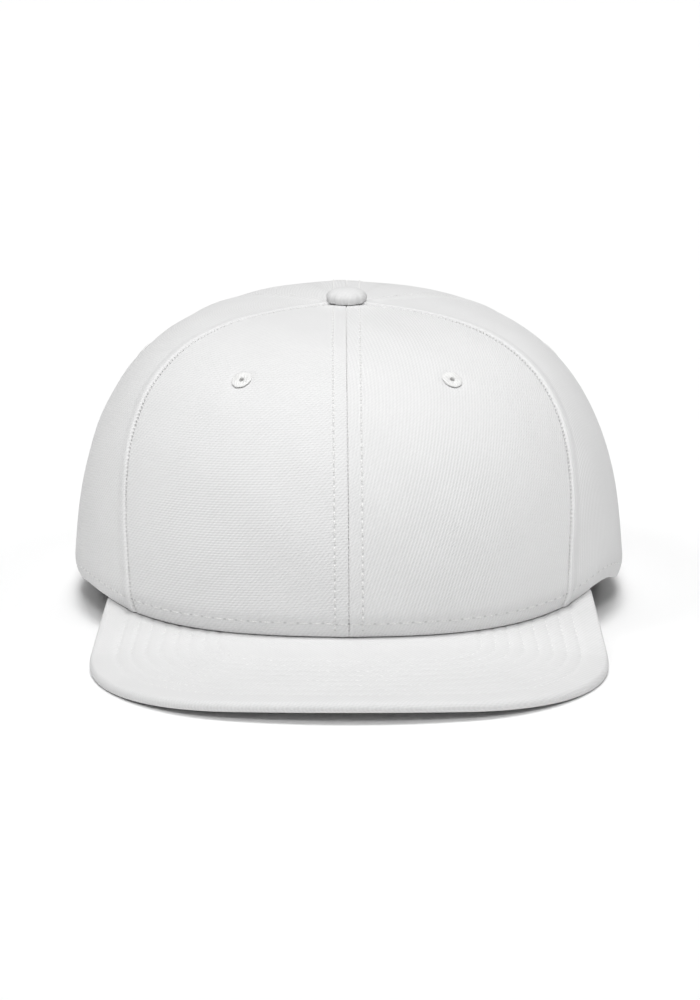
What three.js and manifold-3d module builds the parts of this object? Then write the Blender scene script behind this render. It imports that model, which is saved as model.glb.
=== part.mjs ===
// A plain six-panel snapback cap, resting on a level surface as it does off the head.
// Millimetres, Z up. The peak points to -Y and left is -X, as seen from the front.
// The crown, the band and the strap share one curved surface, given by an azimuth and a rise:
// azimuth is 0 at the middle of the front and 180 at the middle of the back, in degrees,
// and rise is 0 at the crown's lower edge and 1 at its top.
import * as THREE from "three";
import { mergeVertices } from "three/addons/utils/BufferGeometryUtils.js";
import Module from "manifold-3d";

// Crown
const CROWN_HALF_WIDTH = 95.7;
const CROWN_FRONT_REACH = 92.1;
const CROWN_BACK_REACH = 105;
const CROWN_HEIGHT = 102;
const CROWN_SQUARENESS = 2.0;
const FRONT_FULLNESS = 3.0;
const SIDE_FULLNESS = 3.15;
const BACK_FULLNESS = 3.55;
const TOP_SET_BACK = 8;
const TOP_LEAN = -1;
const CROWN_TAPER = 0.075;
const BASE_TUCK = 2.6;
const BASE_TUCK_HEIGHT = 9;
const SIDE_LIFT = 7.4;
const LIFT_REACH = 60;
const CLOTH = 2;

// Clearances between pieces that touch on the real cap
const FIT_GAP = 0.35;
const SEAM_GAP = 0.4;
const LINING_GAP = 0.6;

// Azimuth of the middle of the back
const MIDDLE_OF_BACK = 180;

// Seams, as azimuths at the lower edge and at the top
const FRONT_SEAM = { base: 50.5, top: 68.5 };
const BACK_SEAM = { base: 114, top: 126 };
const CENTRE_FRONT = { base: 0, top: 0 };
const CENTRE_BACK = { base: MIDDLE_OF_BACK, top: MIDDLE_OF_BACK };

// Peak
const PEAK_LENGTH = 62.5;
const PEAK_WIDTH = 172.4;
const PEAK_THICKNESS = 3.6;
const PEAK_FRONT_RADIUS = 167;
const PEAK_CORNER_RADIUS = 62;
const PEAK_END_AZIMUTH = 62.5;
const PEAK_TUCK_UNDER = 3;
const PEAK_FRONT_LIFT = 3.9;
const PEAK_SLOPE = 0.04;
const PEAK_SIDE_DROOP = 6.35;
const PEAK_TWIST = 1.6;
const RIM_DROP_BEHIND_PEAK = 2;
const RIM_DROP_AZIMUTH = 20;

// Button and eyelets
const BUTTON_RADIUS = 6.9;
const BUTTON_HEIGHT = 5;
const BUTTON_POST_RADIUS = 2.2;
// The button's outline from its underside up, as shares of its radius and height
const BUTTON_OUTLINE = [
  { out: 0.92, up: 0 },
  { out: 1, up: 0.2 },
  { out: 0.95, up: 0.48 },
  { out: 0.78, up: 0.74 },
  { out: 0.48, up: 0.93 },
  { out: 0, up: 1 },
];
const TOP_HOLE_RADIUS = 2.9;
const EYELET_RADIUS = 3.4;
const EYELET_HOLE_RADIUS = 1.1;
const EYELET_NECK_RADIUS = 2.1;
const EYELET_FLANGE = 0.5;
const EYELET_SEAT = 0.6;
const EYELET_BEVEL = 0.3;
const CUT_PAST = 4;
const EYELET_AZIMUTH = { front: 33, side: 106, back: 154 };
const EYELET_RISE = { front: 0.58, side: 0.48, back: 0.58 };

// Half-moon opening, strap and band
const OPENING_HALF_WIDTH = 46;
const OPENING_HEIGHT = 50;
const STRAP_WIDTH = 18;
const STRAP_THICKNESS = 1.6;
const STRAP_LAP = 12;
const STRAP_DOUBLED_HALF_LENGTH = 26;
const STRAP_CLEAR_OF_SURFACE = 0.8;
const STUD_RADIUS = 2.4;
const STUD_TOP_RADIUS = 1.9;
const STUD_HEIGHT = 1.1;
const STUD_PITCH = 9.5;
const BAND_WIDTH = 32;
const BAND_THICKNESS = 1.2;
const BAND_CLEAR_OF_RIM = 0.8;
const BAND_CLEAR_OF_STRAP = 1;

// Steps across and up each panel, and round the small round pieces
const PANEL_STEPS = { across: 11, opening: 6, up: 16 };
const PEAK_STEPS = { corner: 7, side: 4, front: 14, deep: 8 };
const BAND_STEPS = { along: 52, up: 5 };
const STRAP_STEPS = { along: 30, up: 4 };
const ROUND_STEPS = 24;
const EYELET_STEPS = 12;
// How strongly the columns beside the half-moon crowd towards its ends
const OPENING_CROWDING = 1.5;
// Small steps along the surface, in degrees of azimuth and in rise, by which its slope is measured
const SMALL_TURN = 0.1;
const SMALL_RISE = 1e-3;
// How far from each other points may be and still be one corner
const SAME_POINT = 1e-4;
// Angles at which the peak's rolled edge turns over, in degrees
const EDGE_ROLL = [0, 30, 55, 75];

const wasm = await Module();
wasm.setup();

const radians = THREE.MathUtils.degToRad;
const { lerp, smoothstep } = THREE.MathUtils;

// Cloth, plastic and thread colours
const crownCloth = () => new THREE.MeshStandardMaterial({ color: 0xf4f4f3, roughness: 0.9, metalness: 0 });
const peakCloth = () => new THREE.MeshStandardMaterial({ color: 0xf5f5f4, roughness: 0.88, metalness: 0 });
const bandCloth = () => new THREE.MeshStandardMaterial({ color: 0xeeeeec, roughness: 0.92, metalness: 0 });
const thread = () => new THREE.MeshStandardMaterial({ color: 0xf7f7f6, roughness: 0.6, metalness: 0 });
const plastic = () => new THREE.MeshStandardMaterial({ color: 0xf2f2f1, roughness: 0.45, metalness: 0 });

// The crown's surface

// Outline of the crown in plan, before it is tucked in at its lower edge
function planPoint(azimuth) {
  const across = Math.sin(radians(azimuth));
  const along = Math.cos(radians(azimuth));
  const sum = Math.abs(across) ** CROWN_SQUARENESS + Math.abs(along) ** CROWN_SQUARENESS;
  const reach = sum ** (-1 / CROWN_SQUARENESS);
  const length = along > 0 ? CROWN_FRONT_REACH : CROWN_BACK_REACH;
  return [CROWN_HALF_WIDTH * across * reach, -length * along * reach];
}

// A point of the crown's lower edge in plan, moved inwards by a distance at the side
function basePoint(azimuth, inset = 0) {
  const scale = 1 - (BASE_TUCK + inset) / CROWN_HALF_WIDTH;
  const [x, y] = planPoint(azimuth);
  return [x * scale, y * scale];
}

// Height of the peak's underside: it slopes down to the front, its sides droop to the surface
// and its right end lies a little higher than its left one
function peakUnderside(x, y) {
  const frontY = -(CROWN_FRONT_REACH + PEAK_LENGTH);
  const endY = basePoint(PEAK_END_AZIMUTH)[1];
  const widestY = peakCornerCentre().y;
  const share = THREE.MathUtils.clamp((endY - y) / (endY - widestY), 0, 1);
  const middle = PEAK_FRONT_LIFT + PEAK_SLOPE * (y - frontY);
  const aside = x / (PEAK_WIDTH / 2);
  return middle - PEAK_SIDE_DROOP * share * aside ** 2 + PEAK_TWIST * (1 - share) * aside;
}

// Height of the crown's lower edge: on the peak in front, on the surface at the back
function rimHeight(azimuth) {
  const [x, y] = basePoint(azimuth);
  const side = SIDE_LIFT * Math.max(0, (LIFT_REACH - y) / LIFT_REACH);
  const dropFrom = PEAK_END_AZIMUTH + RIM_DROP_BEHIND_PEAK;
  const aside = Math.abs(azimuth);
  if (aside >= dropFrom + RIM_DROP_AZIMUTH) {
    return side;
  }
  const onPeak = peakUnderside(x, y) + PEAK_THICKNESS + FIT_GAP;
  return lerp(onPeak, side, smoothstep(aside, dropFrom, dropFrom + RIM_DROP_AZIMUTH));
}

function fullness(azimuth) {
  const along = Math.cos(radians(azimuth));
  const end = along > 0 ? FRONT_FULLNESS : BACK_FULLNESS;
  return lerp(SIDE_FULLNESS, end, along * along);
}

// A point of the crown's outer surface
function crownPoint(azimuth, rise) {
  const power = 2 / fullness(azimuth);
  const turn = (THREE.MathUtils.clamp(rise, 0, 1) * Math.PI) / 2;
  const up = Math.sin(turn) ** power;
  const rim = rimHeight(azimuth);
  const z = rim + (CROWN_HEIGHT - rim) * up;
  const tucked = Math.max(0, 1 - (z - rim) / BASE_TUCK_HEIGHT) ** 2;
  const out = Math.cos(turn) ** power * (1 - CROWN_TAPER * up) - (BASE_TUCK / CROWN_HALF_WIDTH) * tucked;
  const [x, y] = planPoint(azimuth);
  const lean = TOP_LEAN * (z / CROWN_HEIGHT) ** 2;
  return new THREE.Vector3(x * out + lean, y * out + TOP_SET_BACK * (1 - out), z);
}

// Way out of the cloth, which is level at the lower edge so that the edge is square
function wayOut(azimuth, rise) {
  const low = Math.max(0, rise - SMALL_RISE);
  const high = Math.min(1, rise + SMALL_RISE);
  const along = crownPoint(azimuth + SMALL_TURN, rise).sub(crownPoint(azimuth - SMALL_TURN, rise));
  const upward = crownPoint(azimuth, high).sub(crownPoint(azimuth, low));
  const normal = along.cross(upward).normalize();
  const above = crownPoint(azimuth, rise).z - rimHeight(azimuth);
  normal.z *= Math.min(1, above / BASE_TUCK_HEIGHT);
  return normal.normalize();
}

// A point at a depth inside the crown's outer surface
function insidePoint(azimuth, rise, depth) {
  return crownPoint(azimuth, rise).addScaledVector(wayOut(azimuth, rise), -depth);
}

// The rise at which the surface stands at a height above its lower edge
function riseAt(azimuth, height) {
  const share = Math.max(0, height) / (CROWN_HEIGHT - rimHeight(azimuth));
  return (2 / Math.PI) * Math.asin(share ** (fullness(azimuth) / 2));
}

// The rise at which the surface comes within a distance of the top's middle
function riseNearTop(azimuth, distance) {
  const [x, y] = planPoint(azimuth);
  const reach = Math.hypot(x, y) * (1 - CROWN_TAPER);
  return (2 / Math.PI) * Math.acos((distance / reach) ** (fullness(azimuth) / 2));
}

// Azimuth that lies a length along the lower edge from the middle of the back, on either side
function azimuthFromBack(length) {
  const reach = CROWN_BACK_REACH - BASE_TUCK;
  return MIDDLE_OF_BACK - THREE.MathUtils.radToDeg(length / reach);
}

// Azimuth of a seam, which turns fastest at the lower edge and runs straight into the top
function seamAzimuth(seam, rise) {
  return lerp(seam.base, seam.top, rise * (2 - rise));
}

// Solids from grids and rings of points

// Closed body between two grids of points that face each other, its faces turned out
function bodyBetween(outer, inner) {
  const rows = outer.length;
  const columns = outer[0].length;
  const points = [...outer.flat(), ...inner.flat()];
  const at = (side, i, j) => side * rows * columns + i * columns + j;
  const faces = [];
  const quad = (a, b, c, d) => faces.push(a, b, c, a, c, d);
  for (let i = 0; i + 1 < rows; i += 1) {
    for (let j = 0; j + 1 < columns; j += 1) {
      quad(at(0, i, j), at(0, i + 1, j), at(0, i + 1, j + 1), at(0, i, j + 1));
      quad(at(1, i, j), at(1, i, j + 1), at(1, i + 1, j + 1), at(1, i + 1, j));
    }
  }
  for (let i = 0; i + 1 < rows; i += 1) {
    quad(at(0, i, 0), at(1, i, 0), at(1, i + 1, 0), at(0, i + 1, 0));
    const last = columns - 1;
    quad(at(0, i + 1, last), at(1, i + 1, last), at(1, i, last), at(0, i, last));
  }
  for (let j = 0; j + 1 < columns; j += 1) {
    quad(at(0, 0, j + 1), at(1, 0, j + 1), at(1, 0, j), at(0, 0, j));
    const last = rows - 1;
    quad(at(0, last, j), at(1, last, j), at(1, last, j + 1), at(0, last, j + 1));
  }
  return facingOut(points, faces);
}

// Turns every face over when the body has them facing in
function facingOut(points, faces) {
  let volume = 0;
  for (let k = 0; k < faces.length; k += 3) {
    const [a, b, c] = [points[faces[k]], points[faces[k + 1]], points[faces[k + 2]]];
    volume += a.dot(b.clone().cross(c));
  }
  const geometry = new THREE.BufferGeometry().setFromPoints(points);
  geometry.setIndex(volume < 0 ? faces.reverse() : faces);
  return geometry;
}

function toSolid(geometry) {
  const bare = new THREE.BufferGeometry();
  bare.setAttribute("position", geometry.getAttribute("position"));
  bare.setIndex(geometry.getIndex());
  const merged = mergeVertices(bare, SAME_POINT);
  const mesh = new wasm.Mesh({
    numProp: 3,
    vertProperties: new Float32Array(merged.getAttribute("position").array),
    triVerts: new Uint32Array(merged.getIndex().array),
  });
  return new wasm.Manifold(mesh);
}

function toGeometry(solid) {
  const { vertProperties, triVerts } = solid.getMesh();
  const geometry = new THREE.BufferGeometry();
  geometry.setAttribute("position", new THREE.BufferAttribute(vertProperties, 3));
  geometry.setIndex(new THREE.BufferAttribute(triVerts, 1));
  return geometry;
}

// A body of revolution about Z from a profile of [radius, height] corners
function turned(profile, steps) {
  const corners = profile.map(([radius, height]) => new THREE.Vector2(radius, height));
  const geometry = new THREE.LatheGeometry(corners, steps).rotateX(Math.PI / 2);
  geometry.deleteAttribute("normal");
  geometry.deleteAttribute("uv");
  const merged = mergeVertices(geometry, SAME_POINT);
  const points = [];
  const position = merged.getAttribute("position");
  for (let k = 0; k < position.count; k += 1) {
    points.push(new THREE.Vector3().fromBufferAttribute(position, k));
  }
  const faces = Array.from(merged.getIndex().array);
  const whole = faces.filter((_, k) => {
    const first = k - (k % 3);
    const [a, b, c] = faces.slice(first, first + 3);
    return a !== b && b !== c && c !== a;
  });
  return facingOut(points, whole);
}

// Stands a piece on the crown's surface, its Z axis pointing out of the cloth
function standOnCrown(object, azimuth, rise, depth = 0) {
  const out = wayOut(azimuth, rise);
  object.position.copy(insidePoint(azimuth, rise, depth));
  object.quaternion.setFromUnitVectors(new THREE.Vector3(0, 0, 1), out);
  object.updateMatrix();
  return object;
}

function named(name, geometry, material) {
  const mesh = new THREE.Mesh(geometry, material);
  mesh.name = name;
  return mesh;
}

// Panels

// Rise at which the half-moon opening cuts the cloth, 0 beyond its ends
function openingRise(azimuth) {
  const turnFromBack = MIDDLE_OF_BACK - Math.abs(azimuth);
  const share = (turnFromBack / (MIDDLE_OF_BACK - azimuthFromBack(OPENING_HALF_WIDTH))) ** 2;
  return share < 1 ? riseAt(azimuth, OPENING_HEIGHT * Math.sqrt(1 - share)) : 0;
}

// Shares of a panel's width at which its columns stand, close together at the opening's end
function backColumns() {
  const openingTurn = MIDDLE_OF_BACK - azimuthFromBack(OPENING_HALF_WIDTH);
  const openingShare = openingTurn / (MIDDLE_OF_BACK - BACK_SEAM.base);
  const beside = PANEL_STEPS.across - PANEL_STEPS.opening;
  const shares = [];
  for (let i = 0; i < beside; i += 1) {
    shares.push(((1 - openingShare) * i) / beside);
  }
  for (let i = 0; i <= PANEL_STEPS.opening; i += 1) {
    const turn = (i / PANEL_STEPS.opening) ** OPENING_CROWDING * (Math.PI / 2);
    shares.push(1 - openingShare * Math.cos(turn));
  }
  return shares;
}

function evenColumns() {
  return Array.from({ length: PANEL_STEPS.across + 1 }, (_, i) => i / PANEL_STEPS.across);
}

// Shares of a panel's rise at which its rows stand: even along the cloth, with one more in the tuck
function panelRows(azimuth) {
  const power = fullness(azimuth) / 2;
  const steps = [0, 0.5];
  for (let j = 1; j <= PANEL_STEPS.up; j += 1) {
    steps.push(j);
  }
  return steps.map((step) => {
    const share = step / PANEL_STEPS.up;
    return share < 0.5 ? 0.5 * (2 * share) ** power : 1 - 0.5 * (2 - 2 * share) ** power;
  });
}

// A sewn panel between two seams, on the side given by 1 or -1
function panelGeometry(side, from, to, columns, lowest) {
  const outer = [];
  const inner = [];
  for (const share of columns) {
    const foot = lerp(from.base, to.base, share);
    const start = lowest(foot);
    const end = riseNearTop(lerp(from.top, to.top, share), TOP_HOLE_RADIUS);
    const outerRow = [];
    const innerRow = [];
    for (const row of panelRows(foot)) {
      const rise = lerp(start, end, row);
      const azimuth = inSeams(from, to, share, rise);
      outerRow.push(crownPoint(side * azimuth, rise));
      innerRow.push(insidePoint(side * azimuth, rise, CLOTH));
    }
    outer.push(outerRow);
    inner.push(innerRow);
  }
  return bodyBetween(outer, inner);
}

// Azimuth of a share of the way between two seams, clear of each by half the gap
function inSeams(from, to, share, rise) {
  const start = seamAzimuth(from, rise);
  const end = seamAzimuth(to, rise);
  const clear = (azimuth) => {
    const width = crownPoint(azimuth + SMALL_TURN, rise).distanceTo(crownPoint(azimuth - SMALL_TURN, rise));
    return (SEAM_GAP * SMALL_TURN) / width;
  };
  return lerp(start + clear(start), end - clear(end), share);
}

// Cuts a round hole through the cloth, with a cutter that stands out on both sides of it
function withEyeletHole(geometry, azimuth, rise) {
  const cutter = new THREE.CylinderGeometry(
    EYELET_NECK_RADIUS + FIT_GAP,
    EYELET_NECK_RADIUS + FIT_GAP,
    (CLOTH + CUT_PAST) * 2,
    ROUND_STEPS,
  ).rotateX(Math.PI / 2);
  const placed = standOnCrown(new THREE.Object3D(), azimuth, rise);
  return toGeometry(toSolid(geometry).subtract(toSolid(cutter.applyMatrix4(placed.matrix))));
}

function eyelet(name, azimuth, rise) {
  const top = EYELET_SEAT;
  const bottom = -(CLOTH + EYELET_SEAT);
  const profile = [
    [EYELET_HOLE_RADIUS, bottom - EYELET_FLANGE],
    [EYELET_RADIUS - EYELET_BEVEL, bottom - EYELET_FLANGE],
    [EYELET_RADIUS, bottom],
    [EYELET_NECK_RADIUS, bottom],
    [EYELET_NECK_RADIUS, top],
    [EYELET_RADIUS, top],
    [EYELET_RADIUS - EYELET_BEVEL, top + EYELET_FLANGE],
    [EYELET_HOLE_RADIUS, top + EYELET_FLANGE],
    [EYELET_HOLE_RADIUS, bottom - EYELET_FLANGE],
  ];
  return standOnCrown(named(name, turned(profile, EYELET_STEPS), thread()), azimuth, rise);
}

// Peak

// Centre of the right-hand corner's arc, which the front arc meets without a kink
function peakCornerCentre() {
  const frontCentreY = PEAK_FRONT_RADIUS - (CROWN_FRONT_REACH + PEAK_LENGTH);
  const x = PEAK_WIDTH / 2 - PEAK_CORNER_RADIUS;
  const between = PEAK_FRONT_RADIUS - PEAK_CORNER_RADIUS;
  return { x, y: frontCentreY - Math.sqrt(between * between - x * x), frontCentreY };
}

function onArc(centreX, centreY, radius, angle) {
  return [centreX + radius * Math.cos(angle), centreY + radius * Math.sin(angle)];
}

// Right half of the peak's outer edge, from its end under the crown to the middle of the front
function peakHalfEdge() {
  const [endX, endY] = basePoint(PEAK_END_AZIMUTH);
  const centre = peakCornerCentre();
  const toEnd = Math.hypot(endX - centre.x, endY - centre.y);
  const turn = Math.atan2(endY - centre.y, endX - centre.x) - Math.acos(PEAK_CORNER_RADIUS / toEnd);
  const meet = Math.atan2(centre.y - centre.frontCentreY, centre.x);
  const points = [];
  const [touchX, touchY] = onArc(centre.x, centre.y, PEAK_CORNER_RADIUS, turn);
  for (let k = 0; k < PEAK_STEPS.side; k += 1) {
    points.push([lerp(endX, touchX, k / PEAK_STEPS.side), lerp(endY, touchY, k / PEAK_STEPS.side)]);
  }
  for (let k = 0; k < PEAK_STEPS.corner; k += 1) {
    const angle = lerp(turn, meet, k / PEAK_STEPS.corner);
    points.push(onArc(centre.x, centre.y, PEAK_CORNER_RADIUS, angle));
  }
  const half = PEAK_STEPS.front / 2;
  for (let k = 0; k <= half; k += 1) {
    const angle = lerp(meet, -Math.PI / 2, k / half);
    points.push(onArc(0, centre.frontCentreY, PEAK_FRONT_RADIUS, angle));
  }
  return points;
}

function peak() {
  const half = peakHalfEdge();
  const mirrored = half.slice(0, -1).map(([x, y]) => [-x, y]);
  const edge = [...half, ...mirrored.reverse()];
  const lengths = [0];
  for (let k = 1; k < edge.length; k += 1) {
    lengths.push(lengths[k - 1] + Math.hypot(edge[k][0] - edge[k - 1][0], edge[k][1] - edge[k - 1][1]));
  }
  const top = [];
  const bottom = [];
  edge.forEach(([edgeX, edgeY], k) => {
    const azimuth = lerp(PEAK_END_AZIMUTH, -PEAK_END_AZIMUTH, lengths[k] / lengths.at(-1));
    const [innerX, innerY] = basePoint(azimuth, PEAK_TUCK_UNDER);
    const depth = Math.hypot(edgeX - innerX, edgeY - innerY);
    const round = Math.min(PEAK_THICKNESS / 2, depth / 2);
    const stations = [];
    for (let j = 0; j < PEAK_STEPS.deep; j += 1) {
      stations.push({ inward: (depth - round) * (1 - j / PEAK_STEPS.deep) + round, lift: 1 });
    }
    for (const angle of EDGE_ROLL) {
      stations.push({ inward: round * (1 - Math.sin(radians(angle))), lift: Math.cos(radians(angle)) });
    }
    const place = ({ inward, lift }, up) => {
      const share = inward / depth;
      const x = lerp(edgeX, innerX, share);
      const y = lerp(edgeY, innerY, share);
      return new THREE.Vector3(x, y, peakUnderside(x, y) + (PEAK_THICKNESS / 2) * (1 + up * lift));
    };
    top.push(stations.map((station) => place(station, 1)));
    bottom.push(stations.map((station) => place(station, -1)));
  });
  return named("peak", bodyBetween(top, bottom), peakCloth());
}

// Button

function button() {
  const underside = FIT_GAP;
  const profile = [
    [0, -(CLOTH + FIT_GAP * 2)],
    [BUTTON_POST_RADIUS, -(CLOTH + FIT_GAP * 2)],
    [BUTTON_POST_RADIUS, underside],
    ...BUTTON_OUTLINE.map(({ out, up }) => [BUTTON_RADIUS * out, underside + BUTTON_HEIGHT * up]),
  ];
  const mesh = named("button", turned(profile, ROUND_STEPS), crownCloth());
  mesh.position.copy(crownPoint(0, 1));
  return mesh;
}

// Band and strap

// A strip that follows the inside of the crown between two depths and two heights
function stripGrids(from, to, low, high, steps, outerDepth, innerDepth) {
  const outer = [];
  const inner = [];
  for (let i = 0; i <= steps.along; i += 1) {
    const azimuth = lerp(from, to, i / steps.along);
    const outerRow = [];
    const innerRow = [];
    for (let j = 0; j <= steps.up; j += 1) {
      const rise = riseAt(azimuth, lerp(low, high, j / steps.up));
      outerRow.push(insidePoint(azimuth, rise, outerDepth(azimuth)));
      innerRow.push(insidePoint(azimuth, rise, innerDepth));
    }
    outer.push(outerRow);
    inner.push(innerRow);
  }
  return [outer, inner];
}

function sweatband() {
  const end = azimuthFromBack(OPENING_HALF_WIDTH + STRAP_LAP + BAND_CLEAR_OF_STRAP);
  const depth = CLOTH + LINING_GAP;
  const grids = stripGrids(
    -end,
    end,
    BAND_CLEAR_OF_RIM,
    BAND_CLEAR_OF_RIM + BAND_WIDTH,
    BAND_STEPS,
    () => depth,
    depth + BAND_THICKNESS,
  );
  return named("sweatband", bodyBetween(...grids), bandCloth());
}

function snapStrap() {
  const end = azimuthFromBack(OPENING_HALF_WIDTH + STRAP_LAP);
  const doubledTo = MIDDLE_OF_BACK - azimuthFromBack(STRAP_DOUBLED_HALF_LENGTH);
  const under = CLOTH + LINING_GAP;
  const outerDepth = (azimuth) => {
    const doubled = smoothstep(doubledTo - Math.abs(MIDDLE_OF_BACK - azimuth), 0, 1);
    return under - STRAP_THICKNESS * doubled;
  };
  const low = STRAP_CLEAR_OF_SURFACE;
  const high = low + STRAP_WIDTH;
  const otherEnd = 2 * MIDDLE_OF_BACK - end;
  const grids = stripGrids(end, otherEnd, low, high, STRAP_STEPS, outerDepth, under + STRAP_THICKNESS);
  const middleRise = riseAt(MIDDLE_OF_BACK, (low + high) / 2);
  let solid = toSolid(bodyBetween(...grids));
  const studs = Math.floor(STRAP_DOUBLED_HALF_LENGTH / STUD_PITCH);
  for (let k = -studs; k <= studs; k += 1) {
    const azimuth = azimuthFromBack(k * STUD_PITCH);
    const stud = new THREE.CylinderGeometry(STUD_TOP_RADIUS, STUD_RADIUS, STUD_HEIGHT * 2, ROUND_STEPS / 2);
    const placed = standOnCrown(new THREE.Object3D(), azimuth, middleRise, under - STRAP_THICKNESS);
    solid = solid.add(toSolid(stud.rotateX(Math.PI / 2).applyMatrix4(placed.matrix)));
  }
  return named("snap_strap", toGeometry(solid), plastic());
}

// Assembly

const cap = new THREE.Group();
for (const [word, side] of [["left", -1], ["right", 1]]) {
  const whole = () => 0;
  const kinds = [
    { kind: "front", from: CENTRE_FRONT, to: FRONT_SEAM, columns: evenColumns(), lowest: whole },
    { kind: "side", from: FRONT_SEAM, to: BACK_SEAM, columns: evenColumns(), lowest: whole },
    { kind: "back", from: BACK_SEAM, to: CENTRE_BACK, columns: backColumns(), lowest: openingRise },
  ];
  for (const { kind, from, to, columns, lowest } of kinds) {
    const azimuth = side * EYELET_AZIMUTH[kind];
    const rise = EYELET_RISE[kind];
    const panel = withEyeletHole(panelGeometry(side, from, to, columns, lowest), azimuth, rise);
    cap.add(named(`panel_${kind}_${word}`, panel, crownCloth()));
    cap.add(eyelet(`eyelet_${kind}_${word}`, azimuth, rise));
  }
}
cap.add(peak(), button(), sweatband(), snapStrap());

// The origin is under the middle of the cap, on the surface that it rests on
const box = new THREE.Box3().setFromObject(cap, true);
const middle = box.getCenter(new THREE.Vector3());
cap.position.set(-middle.x, -middle.y, -box.min.z);
cap.updateMatrixWorld(true);

export default cap;
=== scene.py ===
# A plain six-panel snapback cap, white all over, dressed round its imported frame.
# Lengths in the formulas are millimetres from the middle of the crown's plan, Z up, the peak towards -Y.
# place() turns them to metres in the frame. An azimuth is 0 at the middle of the front and 180 at the
# middle of the back, in degrees, and a rise is 0 at the crown's lower edge and 1 at its top.
import math

import bpy
import numpy as np
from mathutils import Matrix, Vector


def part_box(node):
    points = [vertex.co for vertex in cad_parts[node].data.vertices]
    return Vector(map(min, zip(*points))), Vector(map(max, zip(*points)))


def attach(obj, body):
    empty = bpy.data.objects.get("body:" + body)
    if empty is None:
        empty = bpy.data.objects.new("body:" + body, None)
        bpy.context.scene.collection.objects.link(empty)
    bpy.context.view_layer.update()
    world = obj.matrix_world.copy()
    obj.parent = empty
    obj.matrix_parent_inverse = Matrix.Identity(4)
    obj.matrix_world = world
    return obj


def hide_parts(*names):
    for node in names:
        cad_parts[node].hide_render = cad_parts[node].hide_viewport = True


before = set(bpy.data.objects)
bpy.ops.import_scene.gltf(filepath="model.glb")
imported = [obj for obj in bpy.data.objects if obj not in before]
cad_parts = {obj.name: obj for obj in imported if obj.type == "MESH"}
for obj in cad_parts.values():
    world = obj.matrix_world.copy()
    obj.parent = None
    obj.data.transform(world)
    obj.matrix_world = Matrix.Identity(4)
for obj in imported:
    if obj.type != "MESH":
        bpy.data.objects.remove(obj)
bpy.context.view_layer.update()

MM = 0.001

# Crown
CROWN_HALF_WIDTH = 95.7
CROWN_FRONT_REACH = 92.1
CROWN_BACK_REACH = 105
CROWN_HEIGHT = 102
FRONT_FULLNESS = 3.0
SIDE_FULLNESS = 3.15
BACK_FULLNESS = 3.55
TOP_SET_BACK = 8
TOP_LEAN = -1
CROWN_TAPER = 0.075
BASE_TUCK = 2.6
BASE_TUCK_HEIGHT = 9
SIDE_LIFT = 7.4
LIFT_REACH = 60
CLOTH = 2
FIT_GAP = 0.35
SEAM_GAP = 0.06
LINING_GAP = 0.6
TOP_HOLE_RADIUS = 2.9

# Seams, as azimuths at the lower edge and at the top
MIDDLE_OF_BACK = 180
CENTRE_FRONT = {"base": 0, "top": 0}
FRONT_SEAM = {"base": 50.5, "top": 68.5}
BACK_SEAM = {"base": 114, "top": 126}
CENTRE_BACK = {"base": MIDDLE_OF_BACK, "top": MIDDLE_OF_BACK}

# Peak
PEAK_LENGTH = 62.5
PEAK_WIDTH = 172.4
PEAK_THICKNESS = 3.6
PEAK_FRONT_RADIUS = 167
PEAK_CORNER_RADIUS = 62
PEAK_END_AZIMUTH = 62.5
PEAK_TUCK_UNDER = 3
PEAK_FRONT_LIFT = 3.9
PEAK_SLOPE = 0.04
PEAK_SIDE_DROOP = 6.35
PEAK_TWIST = 1.6
RIM_DROP_BEHIND_PEAK = 2
RIM_DROP_AZIMUTH = 20
PEAK_ROWS = 8
PEAK_ROW_SPACING = 4.75
PEAK_FIRST_ROW = 9

# Button and eyelets
BUTTON_RADIUS = 6.9
BUTTON_HEIGHT = 5
BUTTON_POST_RADIUS = 2.2
EYELET_RADIUS = 3.4
EYELET_HOLE_RADIUS = 0.85
EYELET_NECK_RADIUS = 2.1
EYELET_BULGE = 0.4
EYELET_DENT = 0.4
EYELET_DENT_WIDTH = 1.1
EYELET_THREADS = 34

# Half-moon opening, strap and band
OPENING_HALF_WIDTH = 46
OPENING_HEIGHT = 50
STRAP_WIDTH = 18
STRAP_THICKNESS = 1.6
STRAP_LAP = 12
STRAP_DOUBLED_HALF_LENGTH = 26
STRAP_CLEAR_OF_SURFACE = 0.8
STUD_RADIUS = 2.4
STUD_HEIGHT = 1.1
STUD_PITCH = 9.5
BAND_WIDTH = 32
BAND_THICKNESS = 1.2
BAND_CLEAR_OF_RIM = 0.8
BAND_CLEAR_OF_STRAP = 1

# Stitches
SEAM_ROW = 4.6
SEAM_PITCH = 2.9
BASE_ROW = 5.3
BASE_PITCH = 4.3
HEM_ROW = 5
PEAK_PITCH = 3.2
THREAD_RADIUS = 0.3
PEAK_THREAD_RADIUS = 0.2
TIE_RADIUS = 0.26
TIE_PITCH = 1.35
TIE_LENGTH = 0.8
TIE_SUNK = 0.12
STITCH_SHARE = 0.74

# Steps by which the slope of the crown's surface is measured
SMALL_TURN = 0.1
SMALL_RISE = 1e-3


# Small sums

def lerp(start, end, share):
    return start + (end - start) * share


def smooth(value, low, high):
    share = np.clip((value - low) / (high - low), 0, 1)
    return share * share * (3 - 2 * share)


def bell(distance, width):
    return np.exp(-((distance / width) ** 2))


def unit(vectors):
    return vectors / np.linalg.norm(vectors, axis=-1, keepdims=True)


def rolled(distance, radius):
    """How far an edge has rolled down at a distance from it"""
    near = np.clip(1 - distance / radius, 0, 1)
    return radius * (1 - np.sqrt(1 - near * near))


def between(values, along, places):
    """Rows of values at places along a line, from those of its points"""
    return np.stack([np.interp(places, along, column) for column in values.T], axis=1)


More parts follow.
